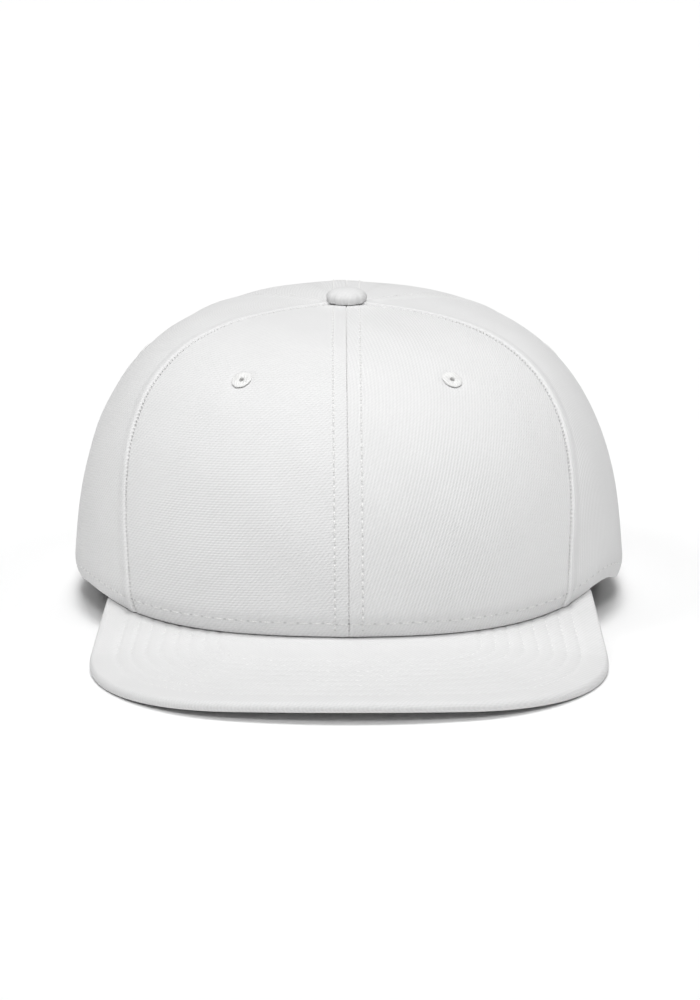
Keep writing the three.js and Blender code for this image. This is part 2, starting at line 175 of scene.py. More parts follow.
def lengths_along(points):
    """Length along a line of points, which run down the first axis"""
    steps = np.linalg.norm(np.diff(points, axis=0), axis=-1)
    return np.concatenate([np.zeros((1, *steps.shape[1:])), np.cumsum(steps, axis=0)])


# The crown's surface

def plan_point(azimuth):
    """A point of the crown's widest outline in plan"""
    across = np.sin(np.radians(azimuth))
    along = np.cos(np.radians(azimuth))
    reach = np.where(along > 0, CROWN_FRONT_REACH, CROWN_BACK_REACH)
    return CROWN_HALF_WIDTH * across, -reach * along


def base_point(azimuth, inset=0):
    """A point of the crown's lower edge in plan, moved inwards by a distance at the side"""
    scale = 1 - (BASE_TUCK + inset) / CROWN_HALF_WIDTH
    x, y = plan_point(azimuth)
    return x * scale, y * scale


# Centres of the peak's front arc and of its right-hand corner's arc
PEAK_FRONT_Y = -(CROWN_FRONT_REACH + PEAK_LENGTH)
FRONT_CENTRE_Y = PEAK_FRONT_RADIUS + PEAK_FRONT_Y
CORNER_X = PEAK_WIDTH / 2 - PEAK_CORNER_RADIUS
CORNER_Y = FRONT_CENTRE_Y - math.sqrt((PEAK_FRONT_RADIUS - PEAK_CORNER_RADIUS) ** 2 - CORNER_X ** 2)


def peak_underside(x, y):
    """Height of the peak's underside, which droops towards its ends and is twisted a little"""
    end_y = base_point(PEAK_END_AZIMUTH)[1]
    share = np.clip((end_y - y) / (end_y - CORNER_Y), 0, 1)
    middle = PEAK_FRONT_LIFT + PEAK_SLOPE * (y - PEAK_FRONT_Y)
    aside = x / (PEAK_WIDTH / 2)
    return middle - PEAK_SIDE_DROOP * share * aside ** 2 + PEAK_TWIST * (1 - share) * aside


def rim_height(azimuth):
    """Height of the crown's lower edge: on the peak in front, on the surface at the back"""
    x, y = base_point(azimuth)
    side = SIDE_LIFT * np.maximum(0, (LIFT_REACH - y) / LIFT_REACH)
    on_peak = peak_underside(x, y) + PEAK_THICKNESS + FIT_GAP
    drop_from = PEAK_END_AZIMUTH + RIM_DROP_BEHIND_PEAK
    return lerp(on_peak, side, smooth(np.abs(azimuth), drop_from, drop_from + RIM_DROP_AZIMUTH))


def fullness(azimuth):
    """How far the crown bulges between its edge and top: 2 would be an ellipse"""
    along = np.cos(np.radians(azimuth))
    end = np.where(along > 0, FRONT_FULLNESS, BACK_FULLNESS)
    return lerp(SIDE_FULLNESS, end, along * along)


def crown_point(azimuth, rise):
    """A point of the crown's outer surface"""
    power = 2 / fullness(azimuth)
    turn = np.clip(rise, 0, 1) * np.pi / 2
    up = np.sin(turn) ** power
    rim = rim_height(azimuth)
    z = rim + (CROWN_HEIGHT - rim) * up
    tucked = np.maximum(0, 1 - (z - rim) / BASE_TUCK_HEIGHT) ** 2
    out = np.cos(turn) ** power * (1 - CROWN_TAPER * up) - BASE_TUCK / CROWN_HALF_WIDTH * tucked
    x, y = plan_point(azimuth)
    lean = TOP_LEAN * (z / CROWN_HEIGHT) ** 2
    return np.stack([x * out + lean, y * out + TOP_SET_BACK * (1 - out), z], axis=-1)


def way_out(azimuth, rise):
    """Way out of the cloth, which is level at the lower edge so that the edge is square"""
    low = np.maximum(0, rise - SMALL_RISE)
    high = np.minimum(1, rise + SMALL_RISE)
    along = crown_point(azimuth + SMALL_TURN, rise) - crown_point(azimuth - SMALL_TURN, rise)
    upward = crown_point(azimuth, high) - crown_point(azimuth, low)
    normal = unit(np.cross(along, upward))
    above = crown_point(azimuth, rise)[..., 2] - rim_height(azimuth)
    normal[..., 2] *= np.minimum(1, above / BASE_TUCK_HEIGHT)
    return unit(normal)


def rise_at(azimuth, height):
    """Rise at a height above the crown's lower edge"""
    share = np.maximum(0, height) / (CROWN_HEIGHT - rim_height(azimuth))
    return 2 / np.pi * np.arcsin(np.minimum(1, share ** (fullness(azimuth) / 2)))


def rise_near_top(azimuth, distance):
    """Rise at a distance from the middle of the top"""
    reach = np.hypot(*plan_point(azimuth)) * (1 - CROWN_TAPER)
    return 2 / np.pi * np.arccos((distance / reach) ** (fullness(azimuth) / 2))


def azimuth_from_back(length):
    """Azimuth at a length along the lower edge from the middle of the back"""
    return MIDDLE_OF_BACK - np.degrees(length / (CROWN_BACK_REACH - BASE_TUCK))


def opening_rise(azimuth, half_width=OPENING_HALF_WIDTH, height=OPENING_HEIGHT):
    """Rise at which the half-moon opening cuts the cloth, 0 beyond its ends"""
    end = MIDDLE_OF_BACK - azimuth_from_back(half_width)
    share = ((MIDDLE_OF_BACK - np.abs(azimuth)) / end) ** 2
    return np.where(share < 1, rise_at(azimuth, height * np.sqrt(np.maximum(0, 1 - share))), 0)


def seam_azimuth(seam, rise):
    """Azimuth of a seam, which turns fastest at the lower edge and runs straight into the top"""
    return lerp(seam["base"], seam["top"], rise * (2 - rise))


def millimetres_per_degree(azimuth, rise):
    ends = crown_point(azimuth + SMALL_TURN, rise) - crown_point(azimuth - SMALL_TURN, rise)
    return np.linalg.norm(ends, axis=-1) / (2 * SMALL_TURN)


# The formulas' origin in the frame, from the button that stands on the crown's middle
button_low, button_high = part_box("button")
MIDDLE = np.array([
    (button_low[0] + button_high[0]) / (2 * MM) - TOP_LEAN,
    (button_low[1] + button_high[1]) / (2 * MM) - TOP_SET_BACK,
    0,
])


def place(points):
    return (points + MIDDLE) * MM


def new_object(name, data):
    made = bpy.data.objects.new(name, data)
    bpy.context.scene.collection.objects.link(made)
    return made


# Camera, looking down at the front as the photograph does, with its aim and distance in metres
CAMERA_AIM = Vector((0.0003, -0.036, 0.050))
CAMERA_DISTANCE = 1.8
CAMERA_DOWN = math.radians(15)
CAMERA_LENS = 193.4
camera_data = bpy.data.cameras.new("camera")
camera_data.lens = CAMERA_LENS
camera = new_object("camera", camera_data)
camera.location = CAMERA_AIM + CAMERA_DISTANCE * Vector((0, -math.cos(CAMERA_DOWN), math.sin(CAMERA_DOWN)))
camera.rotation_euler = (math.pi / 2 - CAMERA_DOWN, 0, 0)
bpy.context.scene.camera = camera


# Materials

def linear(colour):
    """Linear colour of an sRGB hex value"""
    shares = [int(colour[k:k + 2], 16) / 255 for k in (0, 2, 4)]
    return (*[c / 12.92 if c <= 0.04045 else ((c + 0.055) / 1.055) ** 2.4 for c in shares], 1)


def add(tree, kind, inputs=None, **settings):
    """Adds a node. Its inputs are numbers, colours or the outputs that they are linked to."""
    made = tree.nodes.new(kind)
    for name, value in settings.items():
        setattr(made, name, value)
    for name, value in (inputs or {}).items():
        if isinstance(value, bpy.types.NodeSocket):
            tree.links.new(value, made.inputs[name])
        else:
            made.inputs[name].default_value = value
    return made


def new_material(name):
    material = bpy.data.materials.new(name)
    material.use_nodes = True
    material.node_tree.nodes.clear()
    return material, material.node_tree


def finish_material(tree, shader):
    add(tree, "ShaderNodeOutputMaterial", {"Surface": shader.outputs["BSDF"]})


# Ribs of the twill in millimetres, and the floats along one of them
CROWN_RIB_PITCH = 1.15
PEAK_RIB_PITCH = 1.1
BAND_RIB_PITCH = 0.9
FLOATS_PER_RIB = 0.9
FLOAT_HEIGHT = 0.7
RIB_WANDER = 0.12

# Painted shade at the needle holes
HOLE_HALF_WIDTH = 0.4
HOLE_SHARE_OF_STITCH = 0.13
HOLE_DARKNESS = 0.3
HOLE_SHADE_COLOUR = "8c8c8b"


def rib_height(tree, cloth_map, pitch, slant):
    """Twill's slanted ribs with the short floats that they are made of, as a height from 0 to 1"""
    turned = add(tree, "ShaderNodeMapping", {
        "Vector": cloth_map,
        "Rotation": (0, 0, math.radians(slant)),
        "Scale": (1 / (pitch * MM), 1 / (pitch * MM), 1),
    })
    drift = add(tree, "ShaderNodeTexNoise", {"Vector": turned.outputs[0], "Scale": 0.22, "Detail": 2.0})
    drifted = add(tree, "ShaderNodeVectorMath", {0: drift.outputs["Color"], "Scale": RIB_WANDER},
                  operation="SCALE")
    moved = add(tree, "ShaderNodeVectorMath", {0: turned.outputs[0], 1: drifted.outputs[0]}, operation="ADD")
    split = add(tree, "ShaderNodeSeparateXYZ", {0: moved.outputs[0]})
    across = add(tree, "ShaderNodeMath", {0: split.outputs["Y"], 1: math.tau}, operation="MULTIPLY")
    rib = add(tree, "ShaderNodeMath", {0: across.outputs[0]}, operation="SINE")
    floats = add(tree, "ShaderNodeMath", {
        0: split.outputs["X"], 1: math.tau * FLOATS_PER_RIB, 2: across.outputs[0],
    }, operation="MULTIPLY_ADD")
    step = add(tree, "ShaderNodeMath", {0: floats.outputs[0]}, operation="SINE")
    both = add(tree, "ShaderNodeMath", {0: step.outputs[0], 1: FLOAT_HEIGHT, 2: rib.outputs[0]},
               operation="MULTIPLY_ADD")
    return add(tree, "ShaderNodeMapRange", {
        "Value": both.outputs[0], "From Min": -1 - FLOAT_HEIGHT, "From Max": 1 + FLOAT_HEIGHT,
    }).outputs[0]


def painted_hole_shade(tree):
    """Painted shade: small dark spots where the thread goes in, at each whole number of stitches along a row
    """
    rows = add(tree, "ShaderNodeSeparateXYZ", {0: add(tree, "ShaderNodeUVMap", uv_map="rows").outputs["UV"]})
    across = add(tree, "ShaderNodeMath", {0: rows.outputs["X"], 1: 1 / (HOLE_HALF_WIDTH * MM)},
                 operation="MULTIPLY")
    fraction = add(tree, "ShaderNodeMath", {0: rows.outputs["Y"], 1: 0.5}, operation="PINGPONG")
    along = add(tree, "ShaderNodeMath", {0: fraction.outputs[0], 1: 1 / HOLE_SHARE_OF_STITCH},
                operation="MULTIPLY")
    across_squared = add(tree, "ShaderNodeMath", {0: across.outputs[0], 1: 2.0}, operation="POWER")
    along_squared = add(tree, "ShaderNodeMath", {0: along.outputs[0], 1: 2.0}, operation="POWER")
    far = add(tree, "ShaderNodeMath", {0: across_squared.outputs[0], 1: along_squared.outputs[0]},
              operation="ADD")
    return add(tree, "ShaderNodeMapRange", {
        "Value": far.outputs[0], "From Min": 0.3, "From Max": 1.3, "To Min": HOLE_DARKNESS, "To Max": 0.0,
    }).outputs[0]


def twill(name, colour, painted_valley_shade, pitch, slant, relief, holes=False):
    """Woven cotton twill: matte, with slanted ribs that catch the light and soft fuzz between them, and
    painted shade that darkens the valleys between the ribs
    """
    material, tree = new_material(name)
    cloth_map = add(tree, "ShaderNodeUVMap", uv_map="cloth").outputs["UV"]
    ribs = rib_height(tree, cloth_map, pitch, slant)
    fuzz = add(tree, "ShaderNodeTexNoise", {"Vector": cloth_map, "Scale": 2200.0, "Detail": 3.0})
    patches = add(tree, "ShaderNodeTexNoise", {"Vector": cloth_map, "Scale": 60.0, "Detail": 4.0})
    height = add(tree, "ShaderNodeMath", {0: fuzz.outputs[0], 1: 0.4, 2: ribs}, operation="MULTIPLY_ADD")
    # Painted shade: the colour darkens to the shade colour in the valleys between the ribs and is full on
    # their crests
    ribs_with_painted_shade = add(tree, "ShaderNodeMix", {
        "Factor": ribs, "A": linear(painted_valley_shade), "B": linear(colour),
    }, data_type="RGBA")
    worn = add(tree, "ShaderNodeMapRange", {
        "Value": patches.outputs[0], "To Min": 0.975, "To Max": 1.02,
    })
    colour_out = add(tree, "ShaderNodeVectorMath", {0: ribs_with_painted_shade.outputs["Result"], "Scale": worn.outputs[0]},
                     operation="SCALE").outputs[0]
    # Painted shade: dark spots at the needle holes, mixed into the cloth's colour
    if holes:
        hole = painted_hole_shade(tree)
        colour_out = add(tree, "ShaderNodeMix", {
            "Factor": hole, "A": colour_out, "B": linear(HOLE_SHADE_COLOUR),
        }, data_type="RGBA").outputs["Result"]
    rough = add(tree, "ShaderNodeMapRange", {"Value": patches.outputs[0], "To Min": 0.82, "To Max": 0.96})
    bump = add(tree, "ShaderNodeBump", {"Height": height.outputs[0], "Distance": relief * MM})
    shader = add(tree, "ShaderNodeBsdfPrincipled", {
        "Base Color": colour_out,
        "Roughness": rough.outputs[0],
        "Specular IOR Level": 0.3,
        "Sheen Weight": 0.06,
        "Sheen Roughness": 0.5,
        "Normal": bump.outputs[0],
    })
    finish_material(tree, shader)
    return material


def sewing_thread():
    """Spun polyester thread: a faint sheen and a fine twist along each stitch, with painted shade in the
    grooves of the twist
    """
    material, tree = new_material("sewing_thread")
    cloth_map = add(tree, "ShaderNodeUVMap", uv_map="cloth").outputs["UV"]
    split = add(tree, "ShaderNodeSeparateXYZ", {0: cloth_map})
    around = add(tree, "ShaderNodeMath", {0: split.outputs["X"], 1: 3.0, 2: split.outputs["Y"]},
                 operation="MULTIPLY_ADD")
    turns = add(tree, "ShaderNodeMath", {0: around.outputs[0], 1: math.tau}, operation="MULTIPLY")
    twist = add(tree, "ShaderNodeMath", {0: turns.outputs[0]}, operation="SINE")
    bump = add(tree, "ShaderNodeBump", {"Height": twist.outputs[0], "Distance": 0.04 * MM})
    # Painted shade: the thread's colour is darker in the grooves of its twist and lighter on its crests
    tint = add(tree, "ShaderNodeMix", {
        "Factor": twist.outputs[0], "A": linear("ebebea"), "B": linear("f2f2f1"),
    }, data_type="RGBA")
    shader = add(tree, "ShaderNodeBsdfPrincipled", {
        "Base Color": tint.outputs["Result"],
        "Roughness": 0.6,
        "Specular IOR Level": 0.4,
        "Sheen Weight": 0.1,
        "Normal": bump.outputs[0],
    })
    finish_material(tree, shader)
    return material


def moulded_plastic():
    """Injection-moulded polyethylene: satin white, slightly milky, with a faint orange peel"""
    material, tree = new_material("moulded_plastic")
    where = add(tree, "ShaderNodeTexCoord").outputs["Object"]
    peel = add(tree, "ShaderNodeTexNoise", {"Vector": where, "Scale": 900.0, "Detail": 2.0})
    flow = add(tree, "ShaderNodeTexNoise", {"Vector": where, "Scale": 35.0, "Detail": 3.0})
    tint = add(tree, "ShaderNodeMix", {
        "Factor": flow.outputs[0], "A": linear("e4e4e2"), "B": linear("ededec"),
    }, data_type="RGBA")
    rough = add(tree, "ShaderNodeMapRange", {"Value": flow.outputs[0], "To Min": 0.36, "To Max": 0.5})
    bump = add(tree, "ShaderNodeBump", {"Height": peel.outputs[0], "Distance": 0.03 * MM})
    shader = add(tree, "ShaderNodeBsdfPrincipled", {
        "Base Color": tint.outputs["Result"],
        "Roughness": rough.outputs[0],
        "IOR": 1.5,
        "Subsurface Weight": 0.1,
        "Subsurface Scale": 0.002,
        "Normal": bump.outputs[0],
    })
    finish_material(tree, shader)
    return material


# The second colour of each twill is painted shade for the valleys between its ribs
CROWN_TWILL = twill("crown_twill", "ebebeb", "e2e2e2", CROWN_RIB_PITCH, -60, 0.1, holes=True)
# Painted shade: the button and the peak are covered in the crown's white twill, given a greyer colour here to
# darken them
BUTTON_TWILL = twill("button_twill", "e4e4e4", "e0e0e0", CROWN_RIB_PITCH, -60, 0.04)
PEAK_TWILL = twill("peak_twill", "e2e2e2", "d9d9d9", PEAK_RIB_PITCH, -55, 0.08)
BAND_TWILL = twill("band_twill", "e6e6e4", "d2d2d0", BAND_RIB_PITCH, -45, 0.1)
THREAD = sewing_thread()
PLASTIC = moulded_plastic()


# Meshes

SHARP_ANGLE = math.radians(55)


def mesh_piece(name, points, faces, maps, material):
    """Makes a piece from points in the formulas' millimetres, with its maps by name"""
    mesh = bpy.data.meshes.new(name)
    mesh.from_pydata(place(points).tolist(), [], faces)
    corners = np.empty(len(mesh.loops), dtype=np.int32)
    mesh.loops.foreach_get("vertex_index", corners)
    for map_name, values in maps.items():
        layer = mesh.uv_layers.new(name=map_name)
        layer.data.foreach_set("uv", values[corners].astype(np.float32).ravel())
    mesh.shade_smooth()
    mesh.set_sharp_from_angle(angle=SHARP_ANGLE)
    mesh.materials.append(material)
    return new_object(name, mesh)


def facing_out(points, quads):
    """Turns the quads over when the body has them facing in"""
    a, b, c, d = (points[quads[:, k]] for k in range(4))
    volume = np.sum(a * (np.cross(b, c) + np.cross(c, d)))
    return quads if volume > 0 else quads[:, ::-1]


# Edges of one cell of a grid: its first and last corner, and the step to the cell on its other side
CELL_EDGES = (
    {"first": (0, 0), "last": (1, 0), "beyond": (0, -1)},
    {"first": (1, 0), "last": (1, 1), "beyond": (1, 0)},
    {"first": (1, 1), "last": (0, 1), "beyond": (0, 1)},
    {"first": (0, 1), "last": (0, 0), "beyond": (-1, 0)},
)


def wall_piece(name, outer, inner, maps, material, hole=None):
    """A closed wall between two grids of points that face each other, open at the cells of a hole"""
    rows, columns = outer.shape[:2]
    count = rows * columns
    kept = np.ones((rows - 1, columns - 1), bool) if hole is None else ~hole
    around = np.pad(kept, 1)
    index = np.arange(count).reshape(rows, columns)
    i, j = np.nonzero(kept)
    front = np.stack([index[i, j], index[i + 1, j], index[i + 1, j + 1], index[i, j + 1]], axis=1)
    quads = [front, front[:, ::-1] + count]
    for edge in CELL_EDGES:
        down, right = edge["beyond"]
        i, j = np.nonzero(kept & ~around[1 + down:rows + down, 1 + right:columns + right])
        first = index[i + edge["first"][0], j + edge["first"][1]]
        last = index[i + edge["last"][0], j + edge["last"][1]]
        quads.append(np.stack([last, first, first + count, last + count], axis=1))
    points = np.concatenate([outer.reshape(-1, 3), inner.reshape(-1, 3)])
    used, quads = np.unique(np.concatenate(quads), return_inverse=True)
    points = points[used]
    quads = facing_out(points, quads.reshape(-1, 4))
    both = {key: np.concatenate([value.reshape(-1, 2)] * 2)[used] for key, value in maps.items()}
    return mesh_piece(name, points, quads.tolist(), both, material)


def turned_points(profile, steps, wave=None):
    """Rings of points of a body of revolution about Z, from rows of radius and height"""
    angles = np.arange(steps) * math.tau / steps
    radius = profile[:, :1] * np.ones(steps)
    height = profile[:, 1:] * np.ones(steps)
    if wave is not None:
        radius, height = wave(radius, height, angles[None, :])
    return np.stack([radius * np.cos(angles), radius * np.sin(angles), height], axis=-1)


def turned_faces(rings, steps, closed):
    """Faces of a body of revolution: closed on itself, or capped at its first and last ring"""
    index = np.arange(rings * steps).reshape(rings, steps)
    beside = np.roll(index, -1, axis=1)
    above = np.roll(index, -1, axis=0)
    above_beside = np.roll(beside, -1, axis=0)
    last = rings if closed else rings - 1
    quads = np.stack([index, beside, above_beside, above], axis=-1)[:last].reshape(-1, 4).tolist()
    return quads if closed else [*quads, index[0][::-1].tolist(), index[-1].tolist()]


def stand_on_crown(points, azimuth, rise, depth=0.0):
    """Points of a small piece, its Z axis pointing out of the cloth"""
    out = way_out(np.array(azimuth, float), np.array(rise, float))
    across = unit(np.cross(np.array([0.0, 0.0, 1.0]), out))
    upward = np.cross(out, across)
    foot = crown_point(np.array(azimuth, float), np.array(rise, float)) - out * depth
    return foot + points @ np.stack([across, upward, out])


def dress(piece, slot, *nodes):
    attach(piece, "root")
    if nodes:
        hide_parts(*nodes)
    return piece


# Stitches, gathered row by row and made as joined meshes

# A stitch's outline: its place along the stitch, its thickness and its lift as shares
STITCH_OUTLINE = np.array([
    (-0.50, 0.40, -1.0),
    (-0.38, 0.85, -0.2),
    (-0.15, 1.00, 0.5),
    (0.15, 1.00, 0.5),
    (0.38, 0.85, -0.2),
    (0.50, 0.40, -1.0),
])
STITCH_SIDES = 6


def stitch_frames(points, normals, along, pitch):
    """Middle, direction and way out of each whole stitch along a line of points"""
    first = math.ceil(along[0] / pitch)
    middles = np.arange(first, math.floor(along[-1] / pitch)) + 0.5
    start = between(points, along, (middles - STITCH_SHARE / 2) * pitch)
    end = between(points, along, (middles + STITCH_SHARE / 2) * pitch)
    out = unit(between(normals, along, middles * pitch))
    return [(start + end) / 2, end - start, out]


def stitch_piece(name, rows, radius=THREAD_RADIUS):
    """All the stitches of some rows as one joined mesh"""
    middle, reach, out = (np.concatenate(parts) for parts in zip(*rows))
    length = np.linalg.norm(reach, axis=1, keepdims=True)
    along = reach / length
    aside = unit(np.cross(along, out))
    out = np.cross(aside, along)
    angles = np.arange(STITCH_SIDES) * math.tau / STITCH_SIDES
    turn_out = np.sin(angles)[None, :]
    turn_aside = np.cos(angles)[None, :]
    rings = []
    maps = []
    for place_along, thick, lift in STITCH_OUTLINE:
        centre = middle + reach * place_along + out * lift * radius
        round_it = turn_out[..., None] * out[:, None] + turn_aside[..., None] * aside[:, None]
        ring = centre[:, None] + radius * thick * round_it
        rings.append(ring)
        around = np.broadcast_to(angles / math.tau, ring.shape[:2])
        maps.append(np.stack([np.full(ring.shape[:2], place_along), around], axis=-1))
    points = np.stack(rings, axis=1)
    count, ring_count = points.shape[:2]
    one = turned_faces(ring_count, STITCH_SIDES, closed=False)
    size = ring_count * STITCH_SIDES
    faces = [[corner + k * size for corner in face] for k in range(count) for face in one]
    cloth_map = np.stack(maps, axis=1).reshape(-1, 2)
    piece = mesh_piece(name, points.reshape(-1, 3), faces, {"cloth": cloth_map}, THREAD)
    return dress(piece, "thread")


# Panels

# How the cloth lies beside its seams, rows of stitches, edges and hem, in millimetres
SEAM_ROLL = 0.45
PRESSED_HEIGHT = 0.28
PRESSED_WIDTH = 6.4
RIDGE_HEIGHT = 0.6
LOW_RIDGE_HEIGHT = 0.3
RIDGE_RISE = 0.9
RIDGE_FLAT = 1.8
RIDGE_WIDTH = 5.6
ROW_DIP = 0.22
ROW_DIP_WIDTH = 0.8
DIP_BETWEEN_HOLES = 0.5
DRAWN_HEIGHT = 0.16
DRAWN_WIDTH = 1.2
LOW_SIDE_ROLL = 0.81
WALL_ROLL = 0.9
RIM_ROLL = 0.45
HEM_HEIGHT = 0.25
HEM_SLOPE = 2
PUCKER_HEIGHT = 0.13
PUCKER_WIDTH = 2.6
# Gentle waves, and the distances over which they fade out at the top and the lower edge
WAVE_HEIGHT = 0.22
WAVES_FROM_TOP = (4, 20)
WAVES_FROM_EDGE = (0, 6)
# Height above the lower edge where the rows beside a seam start, and lift of the hem's stitches
SEAM_ROW_START = 1.5
HEM_STITCH_LIFT = 0.03
# Farther above the lower edge than anything beside it reaches
FAR_UP = 100


def at_needle_holes(along, pitch, between_holes):
    """1 where the needle goes in, and a smaller share halfway between"""
    return lerp(between_holes, 1, (1 + np.cos(math.tau * along / pitch)) / 2)


def stitched_dip(distance, along, row, pitch):
    """The dent that a row of stitches pulls into the cloth, deepest where the needle goes in"""
    deep = at_needle_holes(along, pitch, DIP_BETWEEN_HOLES)
    return ROW_DIP * bell(distance - row, ROW_DIP_WIDTH) * deep


def pressed_open(distance, along):
    """Cloth beside a seam whose turnings are pressed open and stitched down on both sides"""
    raised = PRESSED_HEIGHT * (1 - smooth(distance, SEAM_ROW, PRESSED_WIDTH))
    return raised - rolled(distance, SEAM_ROLL) - stitched_dip(distance, along, SEAM_ROW, SEAM_PITCH)


def ridge(distance):
    """Share of a ridge's height, steep beside the seam and soft on its other side"""
    return smooth(distance, 0, RIDGE_RISE) * (1 - smooth(distance, RIDGE_FLAT, RIDGE_WIDTH))


def over_turnings(distance, along):
    """Cloth that lies over both turnings of a seam, which raise a ridge in it"""
    return RIDGE_HEIGHT * ridge(distance) - rolled(distance, SEAM_ROLL)


def over_flat_turnings(distance, along):
    """Cloth that lies over turnings which are pressed flatter"""
    return LOW_RIDGE_HEIGHT * ridge(distance) - rolled(distance, SEAM_ROLL)


def beside_ridge(distance, along):
    """Cloth on the low side of a seam, drawn in a little at each of its stitches"""
    drawn = DRAWN_HEIGHT * bell(distance - DRAWN_WIDTH, DRAWN_WIDTH) * np.cos(math.tau * along / SEAM_PITCH)
    return drawn - rolled(distance, LOW_SIDE_ROLL)


# The panels from front to back, with their width near enough to space points by, how the cloth lies
# beside the seams at their start and end, and the azimuth and rise of their eyelets
PANELS = (
    {"kind": "front", "width": 80, "start": CENTRE_FRONT, "end": FRONT_SEAM,
     "at_start": pressed_open, "at_end": beside_ridge, "eyelet": (33, 0.58)},
    {"kind": "side", "width": 110, "start": FRONT_SEAM, "end": BACK_SEAM,
     "at_start": over_turnings, "at_end": over_flat_turnings, "eyelet": (106, 0.48)},
    {"kind": "back", "width": 105, "start": BACK_SEAM, "end": CENTRE_BACK,
     "at_start": beside_ridge, "at_end": pressed_open, "eyelet": (154, 0.58)},
)
# Each panel is made twice, on these sides
SIDES = (("left", -1), ("right", 1))
# Turn of the cloth's grain in each panel, in degrees
GRAIN = {"front_left": 12, "front_right": -13, "side_left": 12, "side_right": -28,
         "back_left": 5, "back_right": -15}
PANEL_ACROSS = 84
PANEL_UP = 120
FINE_STEPS = 500
HEM_STEPS = 700
EDGE_STEPS = np.array([0, 0.12, 0.3, 0.55, 0.9, 1.4, 2.0, 2.7])
# Columns beside the half-moon opening's end
OPENING_END_STEPS = np.array([-0.6, -0.3, -0.12, 0, 0.04, 0.12, 0.25, 0.45, 0.7, 1.0, 1.4])


def crowded(width, steps):
    """Shares of a width: even steps, with closer ones beside both edges"""
    close = EDGE_STEPS / width
    even = np.linspace(close[-1], 1 - close[-1], steps)
    return np.concatenate([close[:-1], even, 1 - close[-2::-1]])


def panel_columns(panel):
    """Shares of a panel's width at which its columns of points stand"""
    shares = crowded(panel["width"], PANEL_ACROSS)
    if panel["kind"] == "back":
        start = BACK_SEAM["base"]
        end = (azimuth_from_back(OPENING_HALF_WIDTH) - start) / (MIDDLE_OF_BACK - start)
        shares = np.unique(np.concatenate([shares, end + OPENING_END_STEPS / panel["width"]]))
    return shares


def in_seams(start_seam, end_seam, share, rise):
    """Azimuth of a share of the way from one seam to the next, half a gap clear of both"""
    start = seam_azimuth(start_seam, rise)
    end = seam_azimuth(end_seam, rise)
    half_gap = SEAM_GAP / 2
    start = start + half_gap / millimetres_per_degree(start, rise)
    end = end - half_gap / millimetres_per_degree(end, rise)
    return lerp(start, end, share)


def panel_grid(panel):
    """Azimuth and rise of a panel's points, evenly spaced along the cloth from its lower edge to its top"""
    share = panel_columns(panel)[:, None]
    foot = lerp(panel["start"]["base"], panel["end"]["base"], share)
    head = lerp(panel["start"]["top"], panel["end"]["top"], share)
    low = opening_rise(foot) if panel["kind"] == "back" else np.zeros_like(foot)
    high = rise_near_top(head, TOP_HOLE_RADIUS)
    step = np.linspace(0, 1, FINE_STEPS)[None, :]
    power = fullness(foot) / 2
    eased = np.where(step < 0.5, 0.5 * (2 * step) ** power, 1 - 0.5 * (2 - 2 * step) ** power)
    rise = lerp(low, high, eased)
    fine = crown_point(in_seams(panel["start"], panel["end"], share, rise), rise)
    run = lengths_along(fine.transpose(1, 0, 2)).T
    places = crowded(run[:, -1].mean(), PANEL_UP)
    rise = np.stack([np.interp(places * run[k, -1], run[k], rise[k]) for k in range(len(rise))])
    return in_seams(panel["start"], panel["end"], share, rise), rise


def nearest(points, line):
    """Distance of each point to a line of points, and the place along the line that is nearest"""
    along = lengths_along(line)
    flat = points.reshape(-1, 3)
    squares = (flat ** 2).sum(1)[:, None] + (line ** 2).sum(1)[None, :] - 2 * flat @ line.T
    best = squares.argmin(1)
    distance = np.sqrt(np.maximum(0, squares[np.arange(len(flat)), best]))
    return distance.reshape(points.shape[:2]), along[best].reshape(points.shape[:2])


def hem_line(side, out):
    """The line at a distance outside the half-moon opening's edge, from the lower edge to the middle"""
    azimuth = np.linspace(azimuth_from_back(OPENING_HALF_WIDTH + out), MIDDLE_OF_BACK, HEM_STEPS)
    rise = opening_rise(azimuth, OPENING_HALF_WIDTH + out, OPENING_HEIGHT + out)
    return side * azimuth, rise


def line_on_grid(field, level, values, axis):
    """Values where a field that grows along an axis reaches a level"""
    if axis == 1:
        field = field.T
        values = values.transpose(1, 0, 2)
    line = [
        [np.interp(level, field[:, j], values[:, j, k]) for k in range(values.shape[2])]
        for j in range(field.shape[1])
    ]
    return np.array(line)


def slow_waves(points, seed):
    """The gentle unevenness of sewn cloth that stands by itself"""
    x, y, z = (points[..., k] for k in range(3))
    waves = 0.5 * np.sin(x / 13 + z / 17 + seed) + 0.3 * np.sin(y / 9 - z / 11 + 2 * seed)
    return WAVE_HEIGHT * (waves + 0.4 * np.sin((x + y) / 5 + z / 7 + 3 * seed))


def grain_map(across, upward, degrees):
    """A map of the cloth in metres, turned to the way that its grain runs"""
    turn = math.radians(degrees)
    return np.stack([
        across * math.cos(turn) - upward * math.sin(turn),
        across * math.sin(turn) + upward * math.cos(turn),
    ], axis=-1) * MM


def nearest_row_map(stitched):
    """Distance of each point from its nearest row in metres, and its place along that row in stitches"""
    offsets, places = (np.stack(values) for values in zip(*stitched))
    best = np.abs(offsets).argmin(0)[None]
    return np.stack([
        np.take_along_axis(offsets, best, 0)[0] * MM,
        np.take_along_axis(places, best, 0)[0],
    ], axis=-1)


